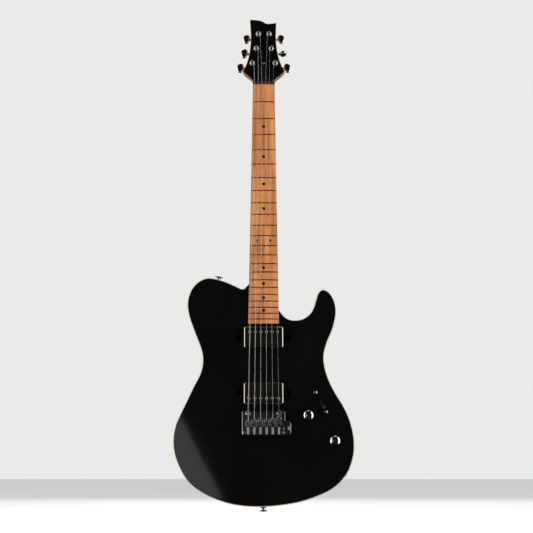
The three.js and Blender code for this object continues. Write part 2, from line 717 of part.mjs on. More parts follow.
// The plate pivots on the studs in two notches, and a ledge on the treble side holds the arm.
function bridgePlate() {
  const top = studAt - BRIDGE.plateAhead;
  const foot = top + BRIDGE.plateLength;
  const half = BRIDGE.plateHalf;
  const ledge = collarX + ARM.margin;
  const outline = [
    [-half, -top],
    [half, -top],
    [half, -top - BRIDGE.ledgeStart],
    [ledge, -top - BRIDGE.ledgeStart - 3],
    [ledge, -foot + 2],
    [half, -foot],
    [-half, -foot],
  ];
  const armZ = -top - ARM.behind;
  const plate = slab(polygon(outline), plateFront, plateBack);
  const flange = brick(
    [-half, plateFront - BRIDGE.flangeRise, -foot],
    [half - 3, plateBack, -foot + BRIDGE.flange],
  );
  const armTop = plateFront - ARM.rise;
  const ring = rod([collarX, armTop, armZ], [collarX, plateBack + 0.8, armZ], ARM.collar, 14);
  const hole = rod([collarX, armTop - SPARE, armZ], [collarX, plateBack - 0.5, armZ], ARM.hole, 12);
  const notches = [-1, 1].map((side) => {
    const x = (side * BRIDGE.studSpread) / 2;
    const width = BRIDGE.waist + BRIDGE.knife;
    const front = plateFront - SPARE;
    const back = plateBack + SPARE;
    const round = rod([x, front, -studAt], [x, back, -studAt], width, 12);
    return round.add(brick([x - width, front, -studAt], [x + width, back, -top + SPARE]));
  });
  return cutBy(joined([plate, flange, ring]), [hole, ...notches]);
}

// Each saddle is one bent strip: a front leg, a flat top and a rear leg.
function saddle(width) {
  const foot = plateFront - SEAT;
  const top = -BRIDGE.saddleTop;
  const sheet = SADDLE.sheet;
  const half = width / 2;
  const strip = brick([-half, top, -SADDLE.length], [half, foot, 0]);
  const under = brick([-half - 1, top + sheet, sheet * 2 - SADDLE.length], [half + 1, foot + 1, -sheet]);
  return strip.subtract(under);
}

function addBridge() {
  [["stud_bass", -1], ["stud_treble", 1]].forEach(([name, side]) => {
    const place = subgroup((side * BRIDGE.studSpread) / 2, 0, -studAt);
    addPart(name, stud(), FINISH.chrome, place);
  });
  addPart("bridge_plate", bridgePlate(), FINISH.chrome);
  const pitch = BRIDGE.spread / (STRINGS - 1);
  rows.forEach((i) => {
    const place = subgroup(saddleX(i), 0, -saddleAt(i));
    addPart(`saddle_${i + 1}`, saddle(pitch - 2 * GAP), FINISH.steel, place);
  });
  const half = BLOCK.halfWidth;
  const block = brick(
    [-half, plateBack + SEAT, -blockTop - BLOCK.thickness],
    [half, BODY.front + BLOCK.depth - BLOCK.fit, -blockTop],
  );
  addPart("vibrato_block", block, FINISH.steel);
}

function addSprings() {
  const claw = blockTop - SPRING.length - GAP * 2;
  [-1, 1].forEach((side, k) => {
    const x = (side * SPRING.spacing) / 2;
    const ends = [[x, springY, -blockTop + GAP], [x, springY, -claw - GAP]];
    addPart(`spring_${k + 1}`, rod(...ends, SPRING.radius, 10), FINISH.steel);
  });
  const half = SPRING.clawHalf;
  const bar = brick([-half, springY - 4.4, -claw], [half, springY + 4.4, -claw + 2]);
  const screws = [-1, 1].map((side) => {
    const x = side * SPRING.clawScrew;
    return rod([x, springY, -claw - 2.5], [x, springY, -springTop + 14], 2, 8);
  });
  addPart("spring_claw", joined([bar, ...screws]), FINISH.steel);
}

// ---------------------------------------------------------------- controls
function knob() {
  const foot = BODY.front - KNOB.floor;
  const top = foot - KNOB.height;
  const r = KNOB.radius;
  const inner = POT.shaft + GAP;
  return turned([
    [0, top],
    [r * 0.5, top + 0.7],
    [r * 0.82, top + 2.6],
    [r, top + 6],
    [r, foot],
    [inner, foot],
    [inner, foot - KNOB.bore],
    [0, foot - KNOB.bore],
  ], 24);
}

function pot() {
  const front = BODY.front + CAVITY_FLOOR + SEAT;
  const shaftTop = BODY.front - KNOB.floor - KNOB.bore + GAP;
  return turned([
    [0, shaftTop],
    [POT.shaft, shaftTop],
    [POT.shaft, BODY.front - 0.8],
    [POT.bushing, BODY.front - 0.8],
    [POT.bushing, front],
    [POT.radius, front],
    [POT.radius, front + POT.depth],
    [0, front + POT.depth],
  ]);
}

// In the switch's own frame the slot runs along Z and the lever swings about X.
function switchFrame() {
  const plateTop = BODY.front + CAVITY_FLOOR + SEAT;
  const pivot = BODY.front + SWITCH.pivot;
  const long = SWITCH.screws / 2 + 4;
  const wide = SWITCH.frameHalf;
  const plate = brick([-wide, plateTop, -long], [wide, plateTop + SWITCH.sheet, long]);
  const slot = brick([-1.3, plateTop - 1, -SWITCH.slot / 2], [1.3, plateTop + 3, SWITCH.slot / 2]);
  const cheeks = [-1, 1].map((side) =>
    brick([side * 2.6 - 0.9, plateTop + 1, -12], [side * 2.6 + 0.9, pivot + 8, 12]),
  );
  const wafer = brick([3, plateTop + 1, -18], [4.6, pivot + 17, 18]);
  const pin = rod([-3, pivot, 0], [3, pivot, 0], SWITCH.pin, 8);
  const screws = [-1, 1].flatMap((side) => {
    const z = (side * SWITCH.screws) / 2;
    const shank = rod([0, BODY.front - 1, z], [0, plateTop + 1, z], 1.4, 8);
    return [shank, rod([0, BODY.front - 2.2, z], [0, BODY.front - SEAT, z], 3.2, 10)];
  });
  return joined([plate.subtract(slot), ...cheeks, wafer, pin, ...screws]);
}

function switchLever() {
  const reach = SWITCH.pivot + SWITCH.tip;
  const half = SWITCH.bladeHalf;
  const wide = SWITCH.bladeWidth / 2;
  const hub = rod([-half, 0, 0], [half, 0, 0], SWITCH.hub, 14);
  const blade = brick([-half, -reach + 5, -wide], [half, 0, wide]);
  const tip = slab(oblong(-3.2, -3.6, 3.2, 3.6, 2), -reach, -reach + 9, 3);
  const hole = rod([-2, 0, 0], [2, 0, 0], SWITCH.pin + 0.4, 8);
  return joined([hub, blade, tip]).subtract(hole);
}

function addControls() {
  ["volume", "tone"].forEach((name) => {
    const [x, z] = controls[name];
    const place = subgroup(x, 0, z);
    addPart(`knob_${name}`, knob(), FINISH.chrome, place);
    addPart(`pot_${name}`, pot(), FINISH.steel, place);
  });
  const [x, z] = controls.blade;
  const place = subgroup(x, 0, z);
  place.rotation.y = SWITCH.turn;
  addPart("switch_frame", switchFrame(), FINISH.steel, place);
  const pivot = subgroup(0, BODY.front + SWITCH.pivot, 0, place);
  pivot.rotation.x = SWITCH.throw;
  addPart("switch_lever", switchLever(), FINISH.plastic, pivot);
}

function addJack() {
  const socket = cutBy(
    jackBore(JACK.barrel, -0.5, -JACK.length).add(jackBore(JACK.radius, 1.2, -JACK.flange)),
    [jackBore(JACK.bore, 3, -JACK.length + 3)],
  );
  addPart("output_jack", socket, FINISH.steel);
}

// ---------------------------------------------------------------- fittings
function addStrapButton(spec) {
  const at = edgeStation(spec.share);
  const { radius, neck, height, screw, screwLength } = STRAP;
  const body = turned([
    [0, -screwLength],
    [screw, -screwLength],
    [screw, GAP],
    [neck + 2, GAP],
    [neck, 2.2],
    [neck, height - 3],
    [radius, height - 1.6],
    [radius, height],
    [0, height],
  ]);
  const place = subgroup(at.x, middleY, at.z);
  const out = new THREE.Vector3(at.outX, 0, at.outZ);
  place.quaternion.setFromUnitVectors(new THREE.Vector3(0, 1, 0), out);
  addPart(spec.name, body, FINISH.chrome, place);
}

function addBackPlates() {
  const outer = bodyBack - COVER.sunk;
  const plate = slab(neckPlateShape(0), outer - PLATE.thickness, outer, 3);
  const bolts = boltPlaces.map(([x, z]) => rod([x, 8.5, z], [x, outer - 1, z], PLATE.bolt, 8));
  addPart("neck_plate", joined([plate, ...bolts]), FINISH.chrome);
  const cover = slab(bridgeCoverShape(0), outer - COVER.thickness, outer, 3);
  addPart("spring_cover", cover, FINISH.plastic);
  const lid = slab(controlShape(COVER.lip), outer - COVER.thickness, outer, 3);
  addPart("control_cover", lid, FINISH.plastic);
}

addBody();
addNeck();
addTrussRod();
addFretboard();
addNut();
addTuners();
addTrussCover();
addStrings();
addPickup("neck", neckPickupAt, NECK_PICKUP);
addPickup("bridge", bridgePickupAt, BRIDGE_PICKUP);
addBridge();
addSprings();
addControls();
addJack();
strapButtons.forEach(addStrapButton);
addBackPlates();

export default guitar;
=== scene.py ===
"""Visible model of an electric guitar with a single cutaway, a bolt-on neck and a vibrato bridge.

Sizes are in millimetres inside the classes and become metres when a piece is finished.
Height is measured from the plane where the fretboard is glued to the neck, towards the player.
"""

import logging
import math
from abc import ABC, abstractmethod
from collections.abc import Callable, Iterable, Sequence
from dataclasses import dataclass, field
from enum import Enum

import bmesh
import bpy
from mathutils import Matrix, Vector


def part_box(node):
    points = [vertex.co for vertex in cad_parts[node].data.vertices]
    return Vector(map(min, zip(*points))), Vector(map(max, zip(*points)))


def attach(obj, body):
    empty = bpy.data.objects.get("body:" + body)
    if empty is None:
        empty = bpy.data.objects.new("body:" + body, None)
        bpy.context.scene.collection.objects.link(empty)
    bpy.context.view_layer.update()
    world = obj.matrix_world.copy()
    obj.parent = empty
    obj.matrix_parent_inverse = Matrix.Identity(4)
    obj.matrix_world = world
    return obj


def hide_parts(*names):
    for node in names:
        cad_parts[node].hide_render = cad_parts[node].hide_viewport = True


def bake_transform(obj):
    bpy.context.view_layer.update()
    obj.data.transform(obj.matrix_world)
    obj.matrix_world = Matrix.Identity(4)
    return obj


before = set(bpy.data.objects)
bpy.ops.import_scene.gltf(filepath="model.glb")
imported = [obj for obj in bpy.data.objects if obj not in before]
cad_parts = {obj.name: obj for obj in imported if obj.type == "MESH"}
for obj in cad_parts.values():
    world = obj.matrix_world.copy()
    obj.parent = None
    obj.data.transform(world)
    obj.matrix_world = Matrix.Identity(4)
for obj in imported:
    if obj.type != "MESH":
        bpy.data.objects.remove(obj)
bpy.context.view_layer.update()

log = logging.getLogger("guitar")
MM = 0.001
Numbers = Sequence[float]
Flat = Sequence[Numbers]
Pair = tuple[float, float]
Triple = tuple[float, float, float]
Socket = bpy.types.NodeSocket
Vert = bmesh.types.BMVert
Edge = bmesh.types.BMEdge
Face = bmesh.types.BMFace
Faces = list[Face]

# Turns a drawing with height towards the viewer into the guitar's frame, whose front is -Y.
FRONT = Matrix(((1, 0, 0, 0), (0, 0, -1, 0), (0, 1, 0, 0), (0, 0, 0, 1)))

# Turns a drawing's height out to its own +X.
SIDEWAYS = Matrix.Rotation(math.pi / 2, 4, "Y")


def shown(name: str, data: bpy.types.ID) -> bpy.types.Object:
    """Puts a new object with the given data in the scene."""
    made = bpy.data.objects.new(name, data)
    bpy.context.scene.collection.objects.link(made)
    return made


# ------------------------------------------------------------------ finishes
class Recipe:
    """A node material in the making, on one principled shader."""

    def __init__(self, name: str) -> None:
        """Starts the material.

        Args:
            name: what the finish is called.
        """
        self.material = bpy.data.materials.new(name)
        self.material.use_nodes = True
        self.tree = self.material.node_tree
        self.shader = self.tree.nodes["Principled BSDF"]
        self.place = self.tree.nodes.new("ShaderNodeTexCoord").outputs["Object"]

    def node(self, kind: str, **values: object) -> bpy.types.Node:
        """Adds a node.

        Args:
            kind: the node's type, without its "ShaderNode" prefix.
            values: sockets by name, with _ for a space: numbers, colours or outputs to link.

        Returns:
            The new node.
        """
        made = self.tree.nodes.new("ShaderNode" + kind)
        for key, value in values.items():
            self.feed(made.inputs[key.replace("_", " ")], value)
        return made

    def feed(self, socket: Socket, value: object) -> None:
        """Links an output to a socket, or sets the socket's own number."""
        if isinstance(value, Socket):
            self.tree.links.new(value, socket)
        else:
            socket.default_value = value

    def stretched(self, scale: Numbers, turn: float = 0.0) -> Socket:
        """Object coordinates stretched along each axis.

        Args:
            scale: how many times each axis is multiplied.
            turn: a turn about the long axis, in radians.

        Returns:
            The stretched coordinates.
        """
        mapping = self.node("Mapping", Vector=self.place, Scale=scale, Rotation=(0, 0, turn))
        return mapping.outputs[0]

    def noise(self, where: Socket, scale: float, detail: float = 3.0) -> Socket:
        """Soft noise between 0 and 1 over the given coordinates."""
        return self.node("TexNoise", Vector=where, Scale=scale, Detail=detail).outputs["Fac"]

    def between(self, share: Socket, low: float, high: float) -> Socket:
        """Spreads a share, mostly 0.3 to 0.7 in a noise, over a range of numbers."""
        made = self.node("MapRange", Value=share)
        for key, value in (("From Min", 0.3), ("From Max", 0.7), ("To Min", low), ("To Max", high)):
            made.inputs[key].default_value = value
        return made.outputs[0]

    def ramp(self, share: Socket, *stops: tuple[float, Numbers]) -> Socket:
        """Colours along a share.

        Args:
            share: the value that picks the colour.
            stops: place and colour of each stop, at least two.

        Returns:
            The colour.
        """
        made = self.node("ValToRGB", Fac=share)
        band = made.color_ramp.elements
        while len(band) < len(stops):
            band.new(0.5)
        for stop, (at, colour) in zip(band, stops):
            stop.position = at
            stop.color = (*colour, 1.0)
        return made.outputs[0]

    def set(self, **values: object) -> None:
        """Sets or links the shader's sockets, named with _ for a space."""
        for key, value in values.items():
            self.feed(self.shader.inputs[key.replace("_", " ")], value)

    def bump(self, height: Socket, strength: float, distance: float) -> None:
        """Presses a height into the surface.

        Args:
            height: the height, 0 to 1.
            strength: how much of it shows.
            distance: the full height, in metres.
        """
        made = self.node("Bump", Height=height, Strength=strength, Distance=distance)
        self.set(Normal=made.outputs[0])


class Look(ABC):
    """A finish that knows its own recipe."""

    @abstractmethod
    def mix(self, recipe: Recipe) -> None:
        """Mixes the finish.

        Args:
            recipe: the recipe that takes its colours, roughness and bump.
        """

    def build(self, name: str) -> bpy.types.Material:
        """Builds the finish.

        Args:
            name: what the material is called.

        Returns:
            The material.
        """
        recipe = Recipe(name)
        self.mix(recipe)
        return recipe.material


@dataclass(frozen=True)
class Lacquer(Look):
    """Polished lacquer over a dark colour, with faint rubbing marks and a slow ripple."""

    dark: Triple
    light: Triple
    rough: Pair = (0.03, 0.075)

    def mix(self, recipe: Recipe) -> None:
        """Mixes the finish in a recipe."""
        cloud = recipe.noise(recipe.place, 9.0)
        rubbing = recipe.noise(recipe.stretched((60, 60, 14)), 6.0, 5.0)
        recipe.set(
            Base_Color=recipe.ramp(cloud, (0.35, self.dark), (0.7, self.light)),
            Roughness=recipe.between(rubbing, *self.rough),
            Coat_Weight=0.35,
            Coat_Roughness=0.03,
            Specular_IOR_Level=0.5,
        )
        recipe.bump(recipe.noise(recipe.place, 55.0), 0.04, 0.0004)


@dataclass(frozen=True)
class Timber(Look):
    """Straight-grained maple: bands and streaks along the neck, fine pores and a satin skin."""

    dark: Triple
    middle: Triple
    light: Triple
    rough: Pair = (0.3, 0.46)
    band: float = 26.0
    coat: float = 0.12
    turn: float = 0.0

    def mix(self, recipe: Recipe) -> None:
        """Mixes the finish in a recipe."""
        broad = recipe.noise(recipe.stretched((1, 1, 0.07), self.turn), self.band, 4.0)
        fine = recipe.noise(recipe.stretched((1, 1, 0.022), self.turn), 330.0, 5.0)
        figure = recipe.noise(recipe.stretched((0.5, 0.5, 1)), 42.0, 2.0)
        base = recipe.ramp(broad, (0.3, self.dark), (0.5, self.middle), (0.72, self.light))
        streak = recipe.ramp(fine, (0.3, self.dark), (0.62, self.light))
        grain = recipe.node("MixRGB", Fac=0.36, Color1=base, Color2=streak)
        shade = recipe.ramp(figure, (0.3, (0.86, 0.84, 0.82)), (0.7, (1.0, 1.0, 1.0)))
        colour = recipe.node("MixRGB", Fac=0.8, Color1=grain.outputs[0], Color2=shade)
        colour.blend_type = "MULTIPLY"
        recipe.set(
            Base_Color=colour.outputs[0],
            Roughness=recipe.between(fine, *self.rough),
            Coat_Weight=self.coat,
            Coat_Roughness=0.22,
        )
        recipe.bump(fine, 0.16, 0.0002)


@dataclass(frozen=True)
class Metal(Look):
    """Bare or plated metal with light wear: polished, satin or drawn one way."""

    colour: Triple
    worn: Triple
    rough: Pair = (0.05, 0.12)
    lines: Triple = (1, 1, 1)
    scale: float = 90.0
    depth: float = 0.05

    def mix(self, recipe: Recipe) -> None:
        """Mixes the finish in a recipe."""
        wear = recipe.noise(recipe.stretched(self.lines), self.scale, 4.0)
        haze = recipe.noise(recipe.place, 28.0)
        recipe.set(
            Base_Color=recipe.ramp(haze, (0.35, self.worn), (0.6, self.colour)),
            Metallic=1.0,
            Roughness=recipe.between(wear, *self.rough),
        )
        recipe.bump(wear, self.depth, 0.0001)


@dataclass(frozen=True)
class Moulded(Look):
    """Moulded or filled plastic with a fine texture."""

    dark: Triple
    light: Triple
    rough: Pair = (0.28, 0.42)
    grain: float = 900.0
    depth: float = 0.12

    def mix(self, recipe: Recipe) -> None:
        """Mixes the finish in a recipe."""
        pores = recipe.noise(recipe.place, self.grain, 2.0)
        cloud = recipe.noise(recipe.place, 24.0)
        recipe.set(
            Base_Color=recipe.ramp(cloud, (0.35, self.dark), (0.7, self.light)),
            Roughness=recipe.between(pores, *self.rough),
        )
        recipe.bump(pores, self.depth, 0.0001)


@dataclass(frozen=True)
class Winding(Look):
    """Round wire wound on a string's core: a ridge for each turn, with painted shade between the
    turns.
    """

    turns_per_metre: float
    ridge: Triple = (0.78, 0.75, 0.69)
    # groove: a painted shade colour for the gaps between the turns, not the wire's own colour
    groove: Triple = (0.2, 0.19, 0.17)

    def mix(self, recipe: Recipe) -> None:
        """Mixes the finish in a recipe."""
        scale = self.turns_per_metre * math.pi / 10
        wave = recipe.node("TexWave", Vector=recipe.place, Scale=scale)
        wave.bands_direction = "Z"
        turns = wave.outputs["Fac"]
        haze = recipe.noise(recipe.place, 60.0)
        recipe.set(
            # The ramp paints shade into the gaps between the turns and keeps the ridges in the
            # wire's own colour.
            Base_Color=recipe.ramp(turns, (0.05, self.groove), (0.45, self.ridge)),
            Metallic=1.0,
            Roughness=recipe.between(haze, 0.22, 0.36),
        )
        recipe.bump(turns, 0.5, 0.0002)


class Finish(Enum):
    """Every finish on the guitar."""

    TOP_LACQUER = Lacquer((0.0022, 0.0022, 0.0025), (0.0034, 0.0034, 0.0038))
    BODY_LACQUER = Lacquer((0.002, 0.0019, 0.0019), (0.0036, 0.0033, 0.0031), (0.04, 0.1))
    BARE_EDGE = Timber(
        (0.36, 0.25, 0.15), (0.52, 0.39, 0.26), (0.66, 0.53, 0.38), (0.16, 0.28), 40.0, 0.6
    )
    ROUTED = Moulded((0.006, 0.0055, 0.005), (0.013, 0.011, 0.01), (0.6, 0.85), 500.0, 0.3)
    NECK_MAPLE = Timber((0.15, 0.056, 0.017), (0.3, 0.125, 0.042), (0.44, 0.2, 0.078), band=75.0)
    BOARD_MAPLE = Timber(
        (0.33, 0.095, 0.02), (0.6, 0.215, 0.06), (0.86, 0.37, 0.125), band=120.0, turn=0.5
    )
    DOT = Moulded((0.006, 0.006, 0.006), (0.013, 0.012, 0.012), (0.2, 0.32), 400.0, 0.04)
    BONE = Moulded((0.012, 0.011, 0.01), (0.028, 0.025, 0.022), (0.26, 0.38), 700.0, 0.06)
    FRET_WIRE = Metal((0.8, 0.78, 0.72), (0.66, 0.63, 0.57), (0.1, 0.2), (1, 0.2, 0.2), 260.0)
    CHROME = Metal((0.9, 0.9, 0.91), (0.78, 0.78, 0.79), (0.035, 0.075))
    NICKEL = Metal((0.84, 0.8, 0.73), (0.74, 0.7, 0.62), (0.045, 0.1))
    STEEL = Metal((0.62, 0.62, 0.61), (0.45, 0.45, 0.44), (0.22, 0.38), (1, 0.1, 1), 420.0, 0.16)
    BENT_STEEL = Metal((0.86, 0.84, 0.8), (0.7, 0.68, 0.64), (0.2, 0.3), (0.12, 1, 1), 380.0, 0.1)
    BLACK_SCREW = Metal((0.02, 0.02, 0.02), (0.05, 0.048, 0.045), (0.22, 0.36), depth=0.08)
    CAST = Metal((0.4, 0.4, 0.41), (0.26, 0.26, 0.27), (0.34, 0.55), scale=160.0, depth=0.3)
    PLASTIC = Moulded((0.007, 0.007, 0.007), (0.014, 0.013, 0.013))
    GLOSS_PLASTIC = Moulded((0.005, 0.005, 0.005), (0.009, 0.009, 0.009), (0.1, 0.18), 200.0, 0.03)
    TIP = Moulded((0.01, 0.01, 0.009), (0.022, 0.021, 0.019), (0.2, 0.3), 500.0, 0.05)
    COIL_FORM = Moulded((0.012, 0.01, 0.008), (0.03, 0.026, 0.02), (0.45, 0.6))
    PLAIN_STRING = Metal((0.72, 0.7, 0.66), (0.5, 0.48, 0.44), (0.14, 0.26), (1, 1, 0.05), 900.0)
    WOUND_FINE = Winding(4200)
    WOUND_MIDDLE = Winding(3300)
    WOUND_HEAVY = Winding(2500)

    def material(self) -> bpy.types.Material:
        """The finish's material, built the first time it is asked for."""
        name = self.name.lower()
        return bpy.data.materials.get(name) or self.value.build(name)


class Slot(Enum):
    """Material slots of the record."""

    TOP = "gloss_black_top"
    BODY = "gloss_black_body"
    NECK = "roasted_maple"
    BOARD = "fretboard_maple"
    NUT = "black_nut"
    CHROME = "chrome"
    COVER = "nickel_cover"
    STEEL = "steel"
    STRING = "string_steel"
    PLASTIC = "black_plastic"


# ------------------------------------------------------------------ shaping
class Form:
    """One mesh in the making, in millimetres, with the operators that shape it."""

    def __init__(self, *finishes: Finish) -> None:
        """Starts with no shape.

        Args:
            finishes: the finishes in the order that the paint numbers count them.
        """
        self.bm = bmesh.new()
        self.finishes = finishes

    def ring(self, points: Iterable[Numbers]) -> tuple[list[Vert], list[Edge]]:
        """Draws a closed ring, and gives its corners and its edges."""
        verts = [self.bm.verts.new(p) for p in points]
        return verts, [self.bm.edges.new(pair) for pair in zip(verts, verts[1:] + verts[:1])]

    def added(self, make: Callable[[], object], place: Matrix, paint: int) -> Faces:
        """Runs one shaping step, places what it made and faces it outwards.

        Args:
            make: the step.
            place: where the new shape goes.
            paint: the number of its finish.

        Returns:
            The new faces.
        """
        before = set(self.bm.verts)
        make()
        fresh = [v for v in self.bm.verts if v not in before]
        bmesh.ops.transform(self.bm, matrix=place, verts=fresh)
        faces = list({f for v in fresh for f in v.link_faces})
        bmesh.ops.recalc_face_normals(self.bm, faces=faces)
        for face in faces:
            face.material_index = paint
        return faces

    def block(self, low: Numbers, high: Numbers, place: Matrix = FRONT, paint: int = 0) -> Faces:
        """Adds a rectangular block.

        Args:
            low: its lowest corner, in the drawing that place turns into the guitar's frame.
            high: its highest corner.
            place: the drawing's place.
            paint: the number of its finish.

        Returns:
            Its faces.
        """
        size = Vector(high) - Vector(low)
        middle = Matrix.Translation((Vector(low) + Vector(high)) / 2) @ Matrix.Diagonal((*size, 1))
        make = lambda: bmesh.ops.create_cube(self.bm, size=1, matrix=middle)
        return self.added(make, place, paint)

    def rod(
        self,
        start: Numbers,
        end: Numbers,
        radius: float,
        sides: int = 24,
        place: Matrix = FRONT,
        paint: int = 0,
    ) -> Faces:
        """Adds a round rod.

        Args:
            start: the middle of one end.
            end: the middle of the other.
            radius: the rod's radius.
            sides: how many sides it has.
            place: the drawing's place.
            paint: the number of its finish.

        Returns:
            Its faces.
        """
        span = Vector(end) - Vector(start)
        turn = span.to_track_quat("Z", "Y").to_matrix().to_4x4()
        middle = Matrix.Translation((Vector(start) + Vector(end)) / 2) @ turn
        sizes = dict(segments=sides, radius1=radius, radius2=radius, depth=span.length)
        make = lambda: bmesh.ops.create_cone(self.bm, cap_ends=True, matrix=middle, **sizes)
        return self.added(make, place, paint)

    def turned(
        self, profile: Flat, place: Matrix = FRONT, sides: int = 40, paint: int = 0
    ) -> Faces:
        """Adds a turned piece.

        Args:
            profile: (radius, height) pairs that start and end on the axis.
            place: the drawing's place, whose Z is the axis.
            sides: how many steps the turn takes.
            paint: the number of its finish.

        Returns:
            Its faces.
        """

        def spin() -> None:
            """Turns the profile round its axis and closes its ends."""
            verts = [self.bm.verts.new((r, 0, h)) for r, h in profile]
            edges = [self.bm.edges.new(pair) for pair in zip(verts, verts[1:])]
            before = {v for v in self.bm.verts if v not in verts}
            bmesh.ops.spin(
                self.bm,
                geom=[*verts, *edges],
                cent=(0, 0, 0),
                axis=(0, 0, 1),
                angle=math.tau,
                steps=sides,
                use_merge=True,
            )
            ring = [v for v in self.bm.verts if v not in before]
            bmesh.ops.remove_doubles(self.bm, verts=ring, dist=1e-4)

        return self.added(spin, place, paint)

    def prism(
        self, outline: Flat, low: float, high: float, place: Matrix = FRONT, paint: int = 0
    ) -> Faces:
        """Adds a flat piece.

        Args:
            outline: its outline's (x, y) points, in order.
            low: the height of its back.
            high: the height of its front.
            place: the drawing's place.
            paint: the number of its finish.

        Returns:
            Its faces.
        """

        def raise_outline() -> None:
            """Fills the outline and extrudes it."""
            edges = self.ring((p[0], p[1], low) for p in outline)[1]
            face = bmesh.ops.edgeloop_fill(self.bm, edges=edges)["faces"]
            grown = bmesh.ops.extrude_face_region(self.bm, geom=face, use_keep_orig=True)["geom"]
            tops = [v for v in grown if isinstance(v, Vert)]
            bmesh.ops.translate(self.bm, vec=(0, 0, high - low), verts=tops)

        return self.added(raise_outline, place, paint)

    def loft(
        self, sections: Sequence[Flat], place: Matrix = Matrix.Identity(4), paint: int = 0
    ) -> Faces:
        """Adds a body that runs through closed sections of equal count.

        Args:
            sections: each section's points, in the same order round.
            place: the drawing's place.
            paint: the number of its finish.

        Returns:
            Its faces.
        """

        def draw() -> None:
            """Extrudes the first section through the rest and caps both ends."""
            ring, edges = self.ring(sections[0])
            bmesh.ops.edgeloop_fill(self.bm, edges=edges)
            for section in sections[1:]:
                grown = bmesh.ops.extrude_edge_only(self.bm, edges=edges)["geom"]
                fresh = [v for v in grown if isinstance(v, Vert)]
                old = set(ring)
                pairs = [(e.other_vert(v), v) for v in fresh for e in v.link_edges]
                follow = {start: v for start, v in pairs if start in old}
                ring = [follow[v] for v in ring]
                for vert, point in zip(ring, section):
                    vert.co = point
                edges = [e for e in grown if isinstance(e, Edge) and old.isdisjoint(e.verts)]
            bmesh.ops.edgeloop_fill(self.bm, edges=edges)

        return self.added(draw, place, paint)

    def tube(
        self,
        path: Flat,
        radius: float,
        sides: int = 10,
        place: Matrix = FRONT,
        paint: int = 0,
    ) -> Faces:
        """Adds a round wire along a path.

        Args:
            path: the points that its middle follows.
            radius: the wire's radius.
            sides: how many sides it has.
            place: the drawing's place.
            paint: the number of its finish.

        Returns:
            Its faces.
        """
        points = [Vector(p) for p in path]
        ways = [(b - a).normalized() for a, b in zip(points, points[1:])]
        tangents = [ways[0], *[(a + b).normalized() for a, b in zip(ways, ways[1:])], ways[-1]]
        across = tangents[0].orthogonal().normalized()
        sections = []
        for point, tangent in zip(points, tangents):
            across = (across - tangent * across.dot(tangent)).normalized()
            other = tangent.cross(across)
            turns = [math.tau * k / sides for k in range(sides)]
            ways = [across * math.cos(t) + other * math.sin(t) for t in turns]
            sections.append([point + radius * way for way in ways])
        return self.loft(sections, place, paint)

    def edges(self, test: Callable[[Edge], bool], least_angle: float = 25.0) -> list[Edge]:
        """Edges where the surface turns, that pass a test.

        Args:
            test: takes an edge and says whether it counts.
            least_angle: the smallest turn, in degrees.

        Returns:
            The edges.
        """
        limit = math.radians(least_angle)
        inner = (e for e in self.bm.edges if len(e.link_faces) == 2)
        return [e for e in inner if e.calc_face_angle() > limit and test(e)]

    def front_edges(self, height: float, least_angle: float = 50.0) -> list[Edge]:
        """Edges in front of a height where the surface turns by an angle, in degrees."""
        return self.edges(lambda e: all(v.co.y < -height for v in e.verts), least_angle)

    def bevel(self, edges: Iterable[Edge], width: float, segments: int = 2) -> None:
        """Rounds edges.

        Args:
            edges: the edges.
            width: the rounding's size.
            segments: how many steps it takes.
        """
        bmesh.ops.bevel(
            self.bm,
            geom=list(edges),
            offset=width,
            offset_type="OFFSET",
            affect="EDGES",
            segments=segments,
            profile=0.5,
            material=-1,
            clamp_overlap=False,
        )

    def soften(self, faces: Iterable[Face], width: float, segments: int = 2) -> None:
        """Rounds every hard edge of a shape that was just made."""
        mine = {e for f in faces if f.is_valid for e in f.edges}
        self.bevel(self.edges(lambda e: e in mine), width, segments)

    def meshed(self, name: str) -> bpy.types.Object:
        """Turns the form into an object that shares its finishes, and empties it."""
        mesh = bpy.data.meshes.new(name)
        self.bm.to_mesh(mesh)
        self.bm.free()
        for finish in self.finishes:
            mesh.materials.append(finish.material())
        return shown(name, mesh)

    def join(self, other: "Form") -> None:
        """Takes in the shape of another form with the same finishes, and uses it up."""
        mesh = bpy.data.meshes.new("part")
        other.bm.to_mesh(mesh)
        other.bm.free()
        self.bm.from_mesh(mesh)
        bpy.data.meshes.remove(mesh)

    def cut(self, tool: "Form") -> None:
        """Cuts another form out of this one, and uses it up.

        Args:
            tool: the form to take away.
        """
        made, taken = self.meshed("cut"), tool.meshed("tool")
        step = made.modifiers.new("cut", "BOOLEAN")
        step.operation, step.solver, step.object = "DIFFERENCE", "EXACT", taken
        bpy.context.view_layer.update()
        left = made.evaluated_get(bpy.context.evaluated_depsgraph_get()).to_mesh()
        self.bm = bmesh.new()
        self.bm.from_mesh(left)
        for spent in (made, taken):
            mesh = spent.data
            bpy.data.objects.remove(spent)
            bpy.data.meshes.remove(mesh)

    def carve(self, make: Callable[["Form"], object]) -> None:
        """Cuts away what a step draws.

        Args:
            make: draws the cutter on a new form with the same finishes.
        """
        tool = Form(*self.finishes)
        make(tool)
        self.cut(tool)

    def piece(
        self, name: str, slot: Slot, *replaces: str, body: str = "root", sharp: float = 32.0
    ) -> bpy.types.Object:
        """Finishes the form as a piece of the guitar.

        Args:
            name: the piece's name.
            slot: the record's material slot; not used.
            replaces: the plain solids that it stands for.
            body: the body that it moves with, or nothing for a piece that is attached to no body.
            sharp: edges that turn more than this many degrees stay sharp.

        Returns:
            The piece.
        """
        bmesh.ops.transform(self.bm, matrix=Matrix.Scale(MM, 4), verts=self.bm.verts)
        made = self.meshed(name)
        made.data.shade_smooth()
        made.data.set_sharp_from_angle(angle=math.radians(sharp))
        if body:
            flat = made.modifiers.new("flat_faces", "WEIGHTED_NORMAL")
            flat.keep_sharp = True
            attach(made, body)
        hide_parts(*replaces)
        log.info("%s: %d faces", name, len(made.data.polygons))
        return made


